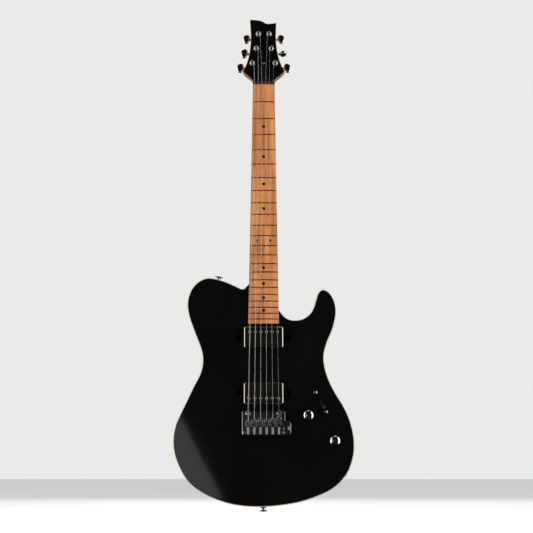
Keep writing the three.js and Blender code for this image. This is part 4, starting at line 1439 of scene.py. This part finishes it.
@dataclass
class Tuner:
    """One tuner: its case and hex washer, its post with the string's turns, and its button."""

    string: StringSpec
    head: Matrix
    first: float = 45.6
    pitch: float = 30.9
    insets: Triple = (22.1, 14.4, 10.2)
    splay: float = math.radians(7)
    post: float = 3.0
    post_height: float = 9.5
    washer: float = 7.2
    washer_height: float = 2.4
    bushing: float = 4.9
    head_thick: float = 13.0
    worm_offset: float = 4.8
    worm_depth: float = 4.5
    reach: float = 23.0
    shaft: float = 1.4
    case_depth: float = 9.5
    case_side: float = 8.0
    button: Triple = (6.8, 9.8, 3.2)
    edge_on: int = 2
    thin: float = 0.3  # strings thinner than this have one more turn

    def stand(self) -> Matrix:
        """The post's drawing: height 0 on the headstock's face."""
        x = self.string.side * self.insets[self.string.row]
        return self.head @ Matrix.Translation((x, self.first + self.pitch * self.string.row, 0))

    def sided(self) -> Matrix:
        """The case's drawing, splayed square to the headstock's side, with +X out to the button."""
        turn = Matrix.Rotation(self.string.side * self.splay, 4, "Z")
        flip = Matrix.Diagonal((self.string.side, 1, 1, 1))
        return self.stand() @ turn @ flip

    def build(self) -> None:
        """Makes the tuner's three pieces."""
        self.make_case()
        self.make_post()
        self.make_button()

    def make_case(self) -> None:
        """The case behind the headstock, the bushing through it and the washer in front."""
        form = Form(Finish.CHROME, Finish.STEEL)
        place = self.sided()
        washer = form.rod((0, 0, 0.1), (0, 0, self.washer_height), self.washer, 6, place)
        form.soften(washer, 0.45, 2)
        rim, bore = self.bushing, self.post + 0.35
        top = self.washer_height + 0.9
        back = -self.head_thick
        ring = [(bore, back), (rim, back), (rim, top - 0.4), (rim - 0.4, top), (bore, top)]
        form.turned([*ring, ring[0]], place, 32)
        rear, side = back - self.case_depth, self.case_side
        case = form.prism(rounded((-side, -9.5), (side, side), 3.2), rear, back - 0.1, place)
        form.soften(case, 2.2, 3)
        worm = (-self.worm_offset, back - self.worm_depth)
        form.rod((-8.4, *worm), (side, *worm), 4.3, 28, place)
        hole = self.shaft + 0.35
        neck = [(hole, 0), (3.9, 0), (3.9, 1), (3, 1.6), (3, 4.2), (2.5, 4.8), (hole, 4.8)]
        out = place @ Matrix.Translation((side, *worm)) @ SIDEWAYS
        form.turned([*neck, neck[0]], out, 24)
        under = place @ Matrix.Translation((0, 3.4, rear + 0.1)) @ Matrix.Rotation(math.pi, 4, "X")
        Screw(2.3, 0.3, Drive.CROSS, 0.1).add(form, under, 1)
        number = self.string.number
        form.piece(f"tuner_{number}_case", Slot.CHROME, f"tuner_case_{number}")

    def make_post(self) -> None:
        """The hollow post, with the string wound round it."""
        form = Form(Finish.CHROME, self.string.wound)
        r, top = self.post, self.post_height
        foot = -self.head_thick - self.case_depth + 1.6
        lip = r + 0.75
        profile = [
            (0, foot), (r, foot), (r, 3.2), (r - 0.35, 4.2), (r - 0.35, 6.6), (r, 7.6), (lip, 8.0),
            (lip, top - 0.5), (lip - 0.4, top), (2.0, top), (1.7, top - 0.4), (1.7, top - 5),
            (0, top - 5),
        ]
        form.turned(profile, self.stand(), 36)
        wire = self.string.radius
        turns, lift = (3.25, 5.2) if wire < self.thin else (2.25, 5.5)
        start = math.pi if self.string.side > 0 else 0.0
        path = []
        for share in [k / 16 for k in range(int(turns * 16) + 1)]:
            turn = start - self.string.side * math.tau * share
            x, y = math.cos(turn) * (r + wire), math.sin(turn) * (r + wire)
            path.append((x, y, lift - share * wire * 2.1))
        form.tube(path, wire, 7, self.stand(), 1)
        number = self.string.number
        body = f"tuner_post_{number}"
        form.piece(f"tuner_{number}_post", Slot.CHROME, body, body=body)

    def make_button(self) -> None:
        """The button on its shaft. One button was left turned a quarter, edge on."""
        form = Form(Finish.CHROME)
        number = self.string.number
        quarter = Matrix.Rotation(math.pi / 2 if number == self.edge_on else 0, 4, "X")
        axis = Matrix.Translation((0, -self.worm_offset, -self.head_thick - self.worm_depth))
        place = self.sided() @ axis @ quarter
        wide, tall, thick = self.button
        middle = place @ Matrix.Translation((self.reach, 0, 0))
        paddle = form.prism(ellipse(wide, tall, 36, 2.25), -thick, thick, middle)
        form.soften(paddle, 2.9, 5)
        inner = self.reach - wide
        run = [
            (0, -5), (self.shaft, -5), (self.shaft, inner - 2.6), (2.5, inner - 2.2),
            (2.7, inner - 0.6), (2.1, inner + 1.4), (0, inner + 1.4),
        ]
        form.turned(run, place @ SIDEWAYS, 24)
        cap = place @ Matrix.Translation((self.reach + wide - 0.7, 0, 0)) @ SIDEWAYS
        form.turned([(0, -1), (1.5, -1), (1.5, 0.3), (1.1, 0.65), (0, 0.65)], cap, 20)
        body = f"tuner_button_{number}"
        form.piece(f"tuner_{number}_knob", Slot.CHROME, body, body=body)


@dataclass
class Strings:
    """Six strings from their posts over the nut to the saddles and down into the plate."""

    head: Matrix
    post: float = 3.0
    entry: float = 5.2
    nut_height: float = 7.6
    nut_long: float = 5.0
    saddle_top: float = 11.0
    bend: float = 30.0  # how much of the string follows the bridge

    def build(self) -> None:
        """Makes each string."""
        for string in STRINGS:
            self.make_string(string)

    def make_string(self, string: StringSpec) -> None:
        """Makes one string.

        Args:
            string: the string.
        """
        r, over, tall = string.radius, self.saddle_top + string.radius, self.nut_height
        nut_x, x, z = string.nut_x, string.saddle_x, string.saddle_z
        stand, side = Tuner(string, self.head).stand(), -string.side * (self.post + r)
        off = [stand @ Vector((side, y, self.entry)) for y in (0, -4)]
        nut = [(nut_x, self.nut_long, tall - 0.15), (nut_x, self.nut_long - 1.2, tall)]
        line = [
            (nut_x + (x - nut_x) * t, z * t, tall + (over - tall) * t)
            for t in (0.25, 0.5, 0.75, 0.9, 0.95)
        ]
        near = [(x, z + gap, over) for gap in (20, 10, 4, 0)]
        dive = [(x, z - 1.2, over - 0.1), (x, z - 2.8, over - 0.8), (x, z - 5, over - 2.6)]
        into = [(x, z - 9.5, 4.6), (x, z - 11, 2.0)]
        drawn = [*nut, (nut_x, 0.2, tall), *line, *near, *dive, *into]
        path = [*off, *[Vector((px, -height, pz)) for px, pz, height in drawn]]
        for point in path[2 : -len([*near, *dive, *into])]:
            point.y -= r
        form = Form(string.wound)
        form.tube(path, r, 10, Matrix.Identity(4))
        name = f"string_{string.number}"
        made = form.piece(f"{name}_wire", Slot.STRING, name, body="", sharp=60)
        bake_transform(made)


# ------------------------------------------------------------------ pickups
@dataclass
class Pickup:
    """A humbucking pickup: a bright cover with slotted poles, on a base plate with two ears."""

    name: str
    z: float
    front: float
    pole_row: float
    spread: float
    width: float = 72.0
    height: float = 38.6
    skirt: float = -14.0
    corner: float = 3.0
    wall: float = 1.0
    pole: float = 2.4
    slack: float = 1.4  # between the cover's outside and what it covers
    ears: Pair = (49.0, 5.8)
    ear_x: float = 44.0

    def build(self) -> None:
        """Makes the cover and what it covers."""
        self.make_cover()
        self.make_inside()

    def rim(self, inset: float) -> list[Pair]:
        """The cover's outline, moved in by a distance."""
        x, z = self.width / 2 - inset, self.height / 2 - inset
        return rounded((-x, -z), (x, z), self.corner - inset)

    def poles(self) -> list[Pair]:
        """Where the pole screws stand."""
        return [(self.spread * string.share, self.pole_row) for string in STRINGS]

    def make_cover(self) -> None:
        """The drawn cover, rounded in front, with a hole over each pole."""
        form = Form(Finish.NICKEL)
        place = at(0, self.z)
        form.prism(self.rim(0), self.skirt, self.front, place)
        form.bevel(form.front_edges(self.front - 0.01), 2.2, 5)
        inner, inside = self.rim(self.wall), self.front - self.wall
        form.carve(lambda t: t.prism(inner, self.skirt - 1, inside, place))
        hole = self.pole + 0.35
        for x, z in self.poles():
            low, high = (x, z, self.front - 3), (x, z, self.front + 2)
            form.carve(lambda t: t.rod(low, high, hole, 28, place))
        form.piece(f"cover_{self.name}", Slot.COVER, f"pickup_cover_{self.name}")

    def make_inside(self) -> None:
        """Bobbins, base plate, ears with their screws, and the pole screws."""
        form = Form(Finish.COIL_FORM, Finish.STEEL, Finish.BLACK_SCREW, Finish.CHROME)
        place = at(0, self.z)
        x, z = self.width / 2 - self.slack, self.height / 2 - self.slack
        for low, high in ((-z, -0.5), (0.5, z)):
            outline = rounded((-x, low), (x, high), 2)
            form.soften(form.prism(outline, -13, self.front - self.slack, place), 0.6, 2)
        form.soften(form.prism(rounded((-x, -z), (x, z), 2), -15.9, -14.4, place, 1), 0.3, 1)
        # Painted shade: the ears, their screws and the screws' shanks take the dark screw finish,
        # which stands in for the shade down in the pickup wells, while the base plate stays steel.
        long, tall = self.ears
        ears = form.prism(rounded((-long, -tall), (long, tall), 3), -15.8, -14.5, place, 2)
        form.soften(ears, 0.3, 1)
        for side in (-1, 1):
            spot = at(side * self.ear_x, self.z, -13.9)
            form.rod((0, 0, -6), (0, 0, 0), 1.5, 16, spot, 2)
            Screw(3.1, 1.1, Drive.CROSS, 0.6).add(form, spot, 2)
        for px, pz in self.poles():
            form.rod((px, pz, -12), (px, pz, self.front - 1), self.pole - 0.6, 20, place, 3)
            Screw(self.pole, 0.45, Drive.SLOT, 0.05).add(form, at(px, self.z + pz, self.front), 3)
        form.piece(f"coils_{self.name}", Slot.PLASTIC, f"pickup_coils_{self.name}")


# ------------------------------------------------------------------ bridge
@dataclass
class Bridge:
    """The two-post vibrato: studs, plate, arm collar and six bent saddles."""

    stud_x: float = 28.4
    stud_z: float = -624.65
    plate_back: float = 1.0
    plate_front: float = 4.0
    half: float = 39.0
    top: float = -621.25
    foot: float = -664.65
    ledge: float = 49.6
    collar: Pair = (40.7, -652.25)
    collar_radius: float = 6.4
    arm_hole: float = 3.4
    flange: float = 7.6
    saddle_wide: float = 10.56
    saddle_top: float = 11.0
    saddle_rear: float = -650.2
    spring_x: float = 13.0
    wire: float = 0.65
    sheet: float = 1.4
    slot_end: float = -640.4
    grub_x: float = 3.7
    spring_loop: float = 7.0
    spring_ends: float = 4.0

    def build(self) -> None:
        """Makes the bridge's pieces."""
        for name, side in (("bass", -1), ("treble", 1)):
            self.make_stud(name, side)
        self.make_plate()
        for string in STRINGS:
            self.make_saddle(string)
        for number, side in ((1, -1), (2, 1)):
            self.make_spring(number, side)

    def make_stud(self, name: str, side: int) -> None:
        """A stud: knife groove, thick head with a round socket, and its insert in the body.

        Args:
            name: of its side.
            side: 1 on the treble side.
        """
        form = Form(Finish.CHROME, Finish.STEEL)
        place = at(side * self.stud_x, self.stud_z)
        profile = [
            (0, 0.9), (2.6, 0.9), (2.6, 5.0), (4.2, 5.05), (4.6, 5.4), (4.6, 5.9), (4.2, 6.4),
            (2.5, 6.6), (2.0, 6.4), (1.6, 5.0), (0, 5.0),
        ]
        form.turned(profile, place, 36)
        insert = [
            (0, -24.5), (5.5, -24.5), (5.5, -2.5), (5.4, -2.15), (3.2, -2.1), (2.6, -2.3),
            (2.6, 1.0), (0, 1.0),
        ]
        form.turned(insert, place, 32, 1)
        form.piece(f"post_{name}", Slot.CHROME, f"stud_{name}")

    def outline(self) -> list[Pair]:
        """The plate's outline with its two knife notches and the ledge for the arm.

        Returns:
            The outline, anticlockwise from the ledge.
        """
        notch, chamfer, half, top = 3.1, 1.5, self.half, self.top
        points = [(-half + chamfer, self.foot), (-half, self.foot + chamfer)]
        points += [(-half, top - chamfer), (-half + chamfer, top)]
        for x in (-self.stud_x, self.stud_x):
            turns = [math.pi * k / 8 for k in range(9)]
            arc = [(x - notch * math.cos(t), self.stud_z - notch * math.sin(t)) for t in turns]
            points += [(x - notch, top), *arc, (x + notch, top)]
        points += [(half - chamfer, top), (half, top - chamfer), (half, -637.25)]
        points += [(self.ledge - 3, -639.7), (self.ledge - 0.8, -640.6), (self.ledge, -642.6)]
        points += [(self.ledge, self.foot + 4), (self.ledge - 1.6, self.foot + 2)]
        points += [(half, self.foot)]
        return list(reversed(points))

    def make_plate(self) -> None:
        """The plate with its folded rear edge, corner screws and the collar for the arm."""
        form = Form(Finish.CHROME, Finish.STEEL, Finish.ROUTED)
        form.prism(self.outline(), self.plate_back, self.plate_front)
        form.bevel(form.front_edges(self.plate_front - 0.01), 0.7, 3)
        low = (-self.half, self.foot, self.plate_front - 1)
        form.soften(form.block(low, (self.half - 3, self.foot + 1.6, self.flange)), 0.5, 2)
        x, z = self.collar
        r, hole, top = self.collar_radius, self.arm_hole, self.plate_front + 5
        ring = [
            (hole, 0.5), (r, 0.5), (r, top - 1.2), (r - 0.4, top - 0.4), (r - 1.2, top),
            (hole + 0.7, top), (hole, top - 0.7), (hole, 0.5),
        ]
        form.turned(ring, at(x, z), 40)
        # Painted shade: a dark disc in the routed finish closes the foot of the arm collar and
        # stands in for the shade down the arm hole.
        form.rod((0, 0, 0.4), (0, 0, 1.0), hole + 0.3, 24, at(x, z), 2)
        for side in (-1, 1):
            Screw(2.5, 0.7, Drive.CROSS, 0.2).add(form, at(side * 35.6, -659.6, self.plate_front))
        for string in STRINGS:
            spot = aimed((string.saddle_x, -6.1, self.foot + 0.2), (0, 0, -1))
            form.turned([(0, -0.3), (1.0, -0.3), (1.0, 0.12), (0, 0.18)], spot, 18, 1)
        form.piece("plate_folded", Slot.CHROME, "bridge_plate", body="vibrato")

    def make_saddle(self, string: StringSpec) -> None:
        """A saddle bent from one strip, slotted for its string, with its screws and spring.

        Args:
            string: the string that it carries.
        """
        form = Form(Finish.BENT_STEEL, Finish.STEEL)
        place = at(string.saddle_x, 0)
        front, rear, half = string.saddle_z, self.saddle_rear, self.saddle_wide / 2
        top, foot = self.saddle_top, self.plate_front + 0.1
        strip = form.block((-half, rear, foot), (half, front, top), place)
        ends = [e for f in strip for e in f.edges if all(abs(v.co.y + top) < 0.01 for v in e.verts)]
        across = {e for e in ends if abs(e.verts[0].co.z - e.verts[1].co.z) < 0.01}
        form.bevel(across, 1.6, 4)
        sheet = self.sheet
        low, high = (-half - 1, rear + sheet, foot - 1), (half + 1, front - sheet, top - sheet)
        form.carve(lambda t: t.block(low, high, place))
        slot = rounded((-2.3, rear + 1.2), (2.3, min(front - 2.4, self.slot_end)), 2.2)
        form.carve(lambda t: t.prism(slot, top - 3, top + 1, place))
        form.soften(list(form.bm.faces), 0.22, 2)
        for x in (-self.grub_x, self.grub_x):
            grub = form.rod((x, front - 4, foot), (x, front - 4, top + 0.7), 1.15, 14, place, 1)
            form.soften(grub, 0.2, 1)
        axis = aimed((string.saddle_x, -6.6, rear), (0, 0, -1))
        long = rear - self.foot - 2.0
        turn = ((1.65, 0.05), (2.1, 0.25), (2.1, 0.65), (1.65, 0.85))
        pitch, core = 0.9, 1.3
        coils = [(r, pitch * k + z) for k in range(int(long / pitch)) for r, z in turn]
        form.turned(
            [(0, -1), (core, -1), (core, 0.05), *coils, (core, long), (0, long)], axis, 20, 1
        )
        name = f"saddle_{string.number}"
        form.piece(f"{name}_bent", Slot.STEEL, name, body="vibrato")

    def make_spring(self, number: int, side: int) -> None:
        """A spring from the claw to the block.

        Args:
            number: of the spring.
            side: 1 on the treble side.
        """
        form = Form(Finish.STEEL)
        low, high = box_of(f"spring_{number}")
        x, y, r = side * self.spring_x, (low.y + high.y) / 2, (high.x - low.x) / 2 - self.wire
        start, end = low.z + self.spring_loop, high.z - self.spring_loop
        turns = int((end - start) / (self.wire * 2.3))
        path = [(x, y, low.z + 0.3), (x, y, start - 2)]
        for k in range(turns * 10 + 1):
            turn, z = math.tau * k / 10, start + (end - start) * k / (turns * 10)
            path.append((x + r * math.cos(turn), y + r * math.sin(turn), z))
        path += [(x, y, end + 2), (x, y, high.z - 0.3)]
        form.tube(path, self.wire, 6, Matrix.Identity(4))
        name = f"spring_{number}"
        made = form.piece(f"{name}_coil", Slot.STEEL, name, body="", sharp=60)
        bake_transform(made)


# ------------------------------------------------------------------ controls and fittings
@dataclass
class Controls:
    """Two knobs, the blade switch and the output jack."""

    volume: Pair = (81.4, -628.65)
    tone: Pair = (129.1, -674.45)
    blade: Pair = (104.3, -604.25)
    jack: tuple[Triple, Triple] = ((152.75, 24.5, -730.7), (0.865, 0, -0.501))
    front: float = -2.5
    knob: float = 9.8
    knob_foot: float = -1.4
    knob_top: float = 15.1
    turn: float = math.radians(28.4)
    throw: float = math.radians(26)
    pivot: float = -14.5
    flutes: int = 72
    flute: float = 0.28  # their depth
    dome: float = 6.2
    tip: Flat = (  # height, half width and half length up the lever's tip
        (16.8, 1.7, 3.0), (17.0, 2.2, 3.4), (19, 2.5, 3.6), (22, 2.9, 3.6), (24.6, 3.2, 3.5),
        (25.6, 2.7, 3.0), (26, 1.8, 2.2),
    )

    def build(self) -> None:
        """Makes the controls."""
        for name, place in (("volume", self.volume), ("tone", self.tone)):
            self.make_knob(name, place)
        self.make_switch_frame()
        self.make_lever()
        self.make_jack()

    def make_knob(self, name: str, place: Pair) -> None:
        """A domed metal knob with a fluted skirt.

        Args:
            name: what it turns.
            place: its axis.
        """
        form = Form(Finish.CHROME)
        foot, top, r = self.knob_foot, self.knob_top, self.knob
        start = top - self.dome
        turns = [math.pi / 2 * k / 12 for k in range(12)]
        dome = [(r * math.cos(a) ** 0.62, start + self.dome * math.sin(a)) for a in turns]
        skirt = [
            (r - 0.5, foot), (r, foot + 0.6), (r, foot + 1.2), (r - 0.02, foot + 1.6),
            (r - 0.02, start - 0.8), (r, start - 0.5),
        ]
        bore = [(3.3, top - 4), (3.3, foot)]
        form.turned([(0, top - 4), *bore, *skirt, *dome, (0, top)], at(*place), self.flutes * 2)
        for vert in form.bm.verts:
            out = Vector((vert.co.x - place[0], vert.co.z - place[1]))
            height = -vert.co.y
            if foot + 1.4 < height < start - 0.6 and out.length > 8:
                step = round((math.atan2(out.y, out.x) % math.tau) / math.tau * self.flutes * 2)
                if step % 2:
                    vert.co.x -= out.x / out.length * self.flute
                    vert.co.z -= out.y / out.length * self.flute
        form.piece(f"dome_{name}", Slot.CHROME, f"knob_{name}", body=f"{name}_knob", sharp=40)

    def make_switch_frame(self) -> None:
        """The switch's frame behind the top, and its two screws in front."""
        form = Form(Finish.STEEL, Finish.CHROME, Finish.COIL_FORM)
        place = at(*self.blade, 0, self.turn)
        top, long = -10.3, 24.0
        form.block((-6, -long, top - 1.4), (6, long, top), place)
        form.carve(lambda t: t.block((-1.3, -13, top - 3), (1.3, 13, top + 1), place))
        for x in (-2.6, 2.6):
            cheek = form.block((x - 0.9, -12, self.pivot - 8), (x + 0.9, 12, top - 1), place)
            form.soften(cheek, 0.3, 1)
        form.block((3, -18, self.pivot - 17), (4.6, 18, top - 1), place, 2)
        form.rod((-3, 0, self.pivot), (3, 0, self.pivot), 1, 16, place)
        for y in (-20, 20):
            form.rod((0, y, top - 1), (0, y, self.front + 0.2), 1.4, 16, place, 1)
            spot = place @ Matrix.Translation((0, y, self.front + 0.1))
            Screw(3.2, 1.3, Drive.CROSS, 0.6).add(form, spot, 1)
        form.piece("blade_frame", Slot.STEEL, "switch_frame")

    def make_lever(self) -> None:
        """The blade and its black tip, leaning to the end of its throw."""
        form = Form(Finish.STEEL, Finish.TIP)
        lean = Matrix.Rotation(self.throw, 4, "X")
        place = at(*self.blade, self.pivot, self.turn) @ lean
        hub = form.rod((-0.6, 0, 0), (0.6, 0, 0), 3.6, 28, place)
        blade = form.block((-0.6, -2.4, 0), (0.6, 2.4, 21), place)
        form.soften([*hub, *blade], 0.12, 1)
        sections = [
            [(x, y, height) for x, y in ellipse(wide, long, 28, 2.6)]
            for height, wide, long in self.tip
        ]
        form.loft(sections, place, 1)
        form.piece("blade_lever", Slot.PLASTIC, "switch_lever", body="switch_lever")

    def make_jack(self) -> None:
        """The jack's barrel in the body, with its ring and six-sided nut at the side."""
        form = Form(Finish.STEEL, Finish.CHROME, Finish.ROUTED)
        place = aimed(*self.jack)
        form.turned([(5, -31), (8, -31), (8, -0.6), (5, -0.6), (5, -31)], place, 32, 2)
        form.turned([(0, -34), (8, -34), (8, -31), (0, -31)], place, 32)
        ring = [(5, -1.5), (9.9, -1.5), (9.9, 0.1), (9.3, 0.5), (7.4, 0.6), (5, 0.6), (5, -1.5)]
        form.turned(ring, place, 40, 1)
        nut = Form(*form.finishes)
        nut.soften(nut.rod((0, 0, 0.4), (0, 0, 1.2), 7.9, 6, place, 1), 0.25, 1)
        nut.carve(lambda t: t.rod((0, 0, -1), (0, 0, 3), 5, 28, place, 1))
        form.join(nut)
        form.piece("jack_socket", Slot.STEEL, "output_jack")


@dataclass
class Fittings:
    """Strap buttons, the neck plate and the covers on the back."""

    back: float = -46.3
    straps: tuple[tuple[str, Triple, Triple], ...] = (
        ("upper", (-85.9, 24.5, -376.7), (0.24, 0, 0.97)),
        ("lower", (-0.27, 24.5, -791.9), (0.03, 0, -1.0)),
    )

    def build(self) -> None:
        """Makes the fittings."""
        for name, point, way in self.straps:
            self.make_strap(name, point, way)
        self.make_neck_plate()
        self.make_cover("spring_cover", "trem_cover", self.corners("spring_cover", 5.2))
        self.make_cover("control_cover", "cavity_cover", self.hull("control_cover", 4.6))

    def make_strap(self, name: str, point: Triple, way: Triple) -> None:
        """A turned strap button on its screw.

        Args:
            name: of its end.
            point: where it stands on the body's side.
            way: the direction out of the body.
        """
        form = Form(Finish.CHROME, Finish.STEEL)
        place = aimed(point, way)
        profile = [
            (0, 0.3), (5.9, 0.3), (6.0, 0.9), (4.6, 2.0), (4.0, 3.2), (4.0, 5.4), (4.9, 6.6),
            (7.2, 7.2), (7.6, 7.7), (7.6, 8.3), (7.1, 8.9), (3.4, 9.0), (3.0, 8.2), (0, 8.2),
        ]
        form.turned(profile, place, 36)
        form.rod((0, 0, -24), (0, 0, 1), 1.9, 14, place, 1)
        Screw(2.6, 0.5, Drive.CROSS, 0.1).add(form, place @ Matrix.Translation((0, 0, 8.25)), 1)
        form.piece(f"strap_{name}", Slot.CHROME, f"strap_button_{name}")

    def make_neck_plate(self) -> None:
        """The neck plate, rounded at its edge, with four domed screws."""
        low, high = box_of("neck_plate")
        form = Form(Finish.CHROME, Finish.STEEL)
        outline = rounded((low.x, low.z), (high.x, high.z), 4)
        form.soften(form.prism(outline, self.back, self.back + 3), 0.35, 2)
        middle = (low.z + high.z) / 2
        for x, z in ((-16, -23), (-16, 23), (16, -23), (16, 23)):
            spot = aimed((x, -self.back - 0.95, middle + z), (0, 1, 0))
            form.rod((0, 0, -36), (0, 0, 0), 2.2, 14, spot, 1)
            Screw(4.2, 0.9, Drive.CROSS, 0.25).add(form, spot)
        form.piece("plate_bolted", Slot.CHROME, "neck_plate")

    def corners(self, node: str, reach: float) -> list[Pair]:
        """Screw places near the corners and sides of a plain rectangular cover."""
        low, high = box_of(node)
        zs = (low.z + reach, (low.z + high.z) / 2, high.z - reach)
        return [(x, z) for x in (low.x + reach, high.x - reach) for z in zs]

    def hull(self, node: str, reach: float) -> list[Pair]:
        """Screw places moved in from the corners of a cover of any outline."""
        loop = loops_on(node, -self.back, 1)[0]
        middle = sum(loop, Vector((0, 0))) / len(loop)
        far = [loop[round(len(loop) * k / 6) % len(loop)] for k in range(6)]
        return [tuple(p + (middle - p).normalized() * reach) for p in far]

    def make_cover(self, node: str, name: str, screws: Flat) -> None:
        """A moulded cover in its recess.

        Args:
            node: the plain solid that it stands for.
            name: of the piece.
            screws: where its screws are.
        """
        form = Form(Finish.PLASTIC, Finish.BLACK_SCREW)
        outline = loops_on(node, -self.back, 1)[0]
        form.soften(form.prism(outline, self.back, self.back + 2), 0.4, 2)
        for x, z in screws:
            spot = aimed((x, -self.back - 0.55, z), (0, 1, 0))
            Screw(2.9, 0.6, Drive.CROSS, 0.05).add(form, spot, 1)
        form.piece(name, Slot.PLASTIC, node)


def dress_inner_parts() -> None:
    """Gives the solids that stay their finishes."""
    finishes = {
        "truss_rod": Finish.STEEL,
        "vibrato_block": Finish.CAST,
        "spring_claw": Finish.STEEL,
        "pot_volume": Finish.STEEL,
        "pot_tone": Finish.STEEL,
    }
    for name, finish in finishes.items():
        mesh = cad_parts[name].data
        mesh.materials.clear()
        mesh.materials.append(finish.material())
        log.info("%s: %s", name, finish.name.lower())


def main() -> None:
    """Builds the guitar, one sub-assembly after another."""
    logging.basicConfig(level=logging.INFO, format="%(name)s %(message)s")
    Studio().build()
    Body().build()
    neck = Neck()
    neck.build()
    for string in STRINGS:
        Tuner(string, neck.head()).build()
    Strings(neck.head()).build()
    Pickup("neck", -485.8, 6.5, 9.8, 50.9).build()
    Pickup("bridge", -588.55, 7.6, -9.2, 53.9).build()
    Bridge().build()
    Controls().build()
    Fittings().build()
    dress_inner_parts()


if __name__ == "__main__":
    main()
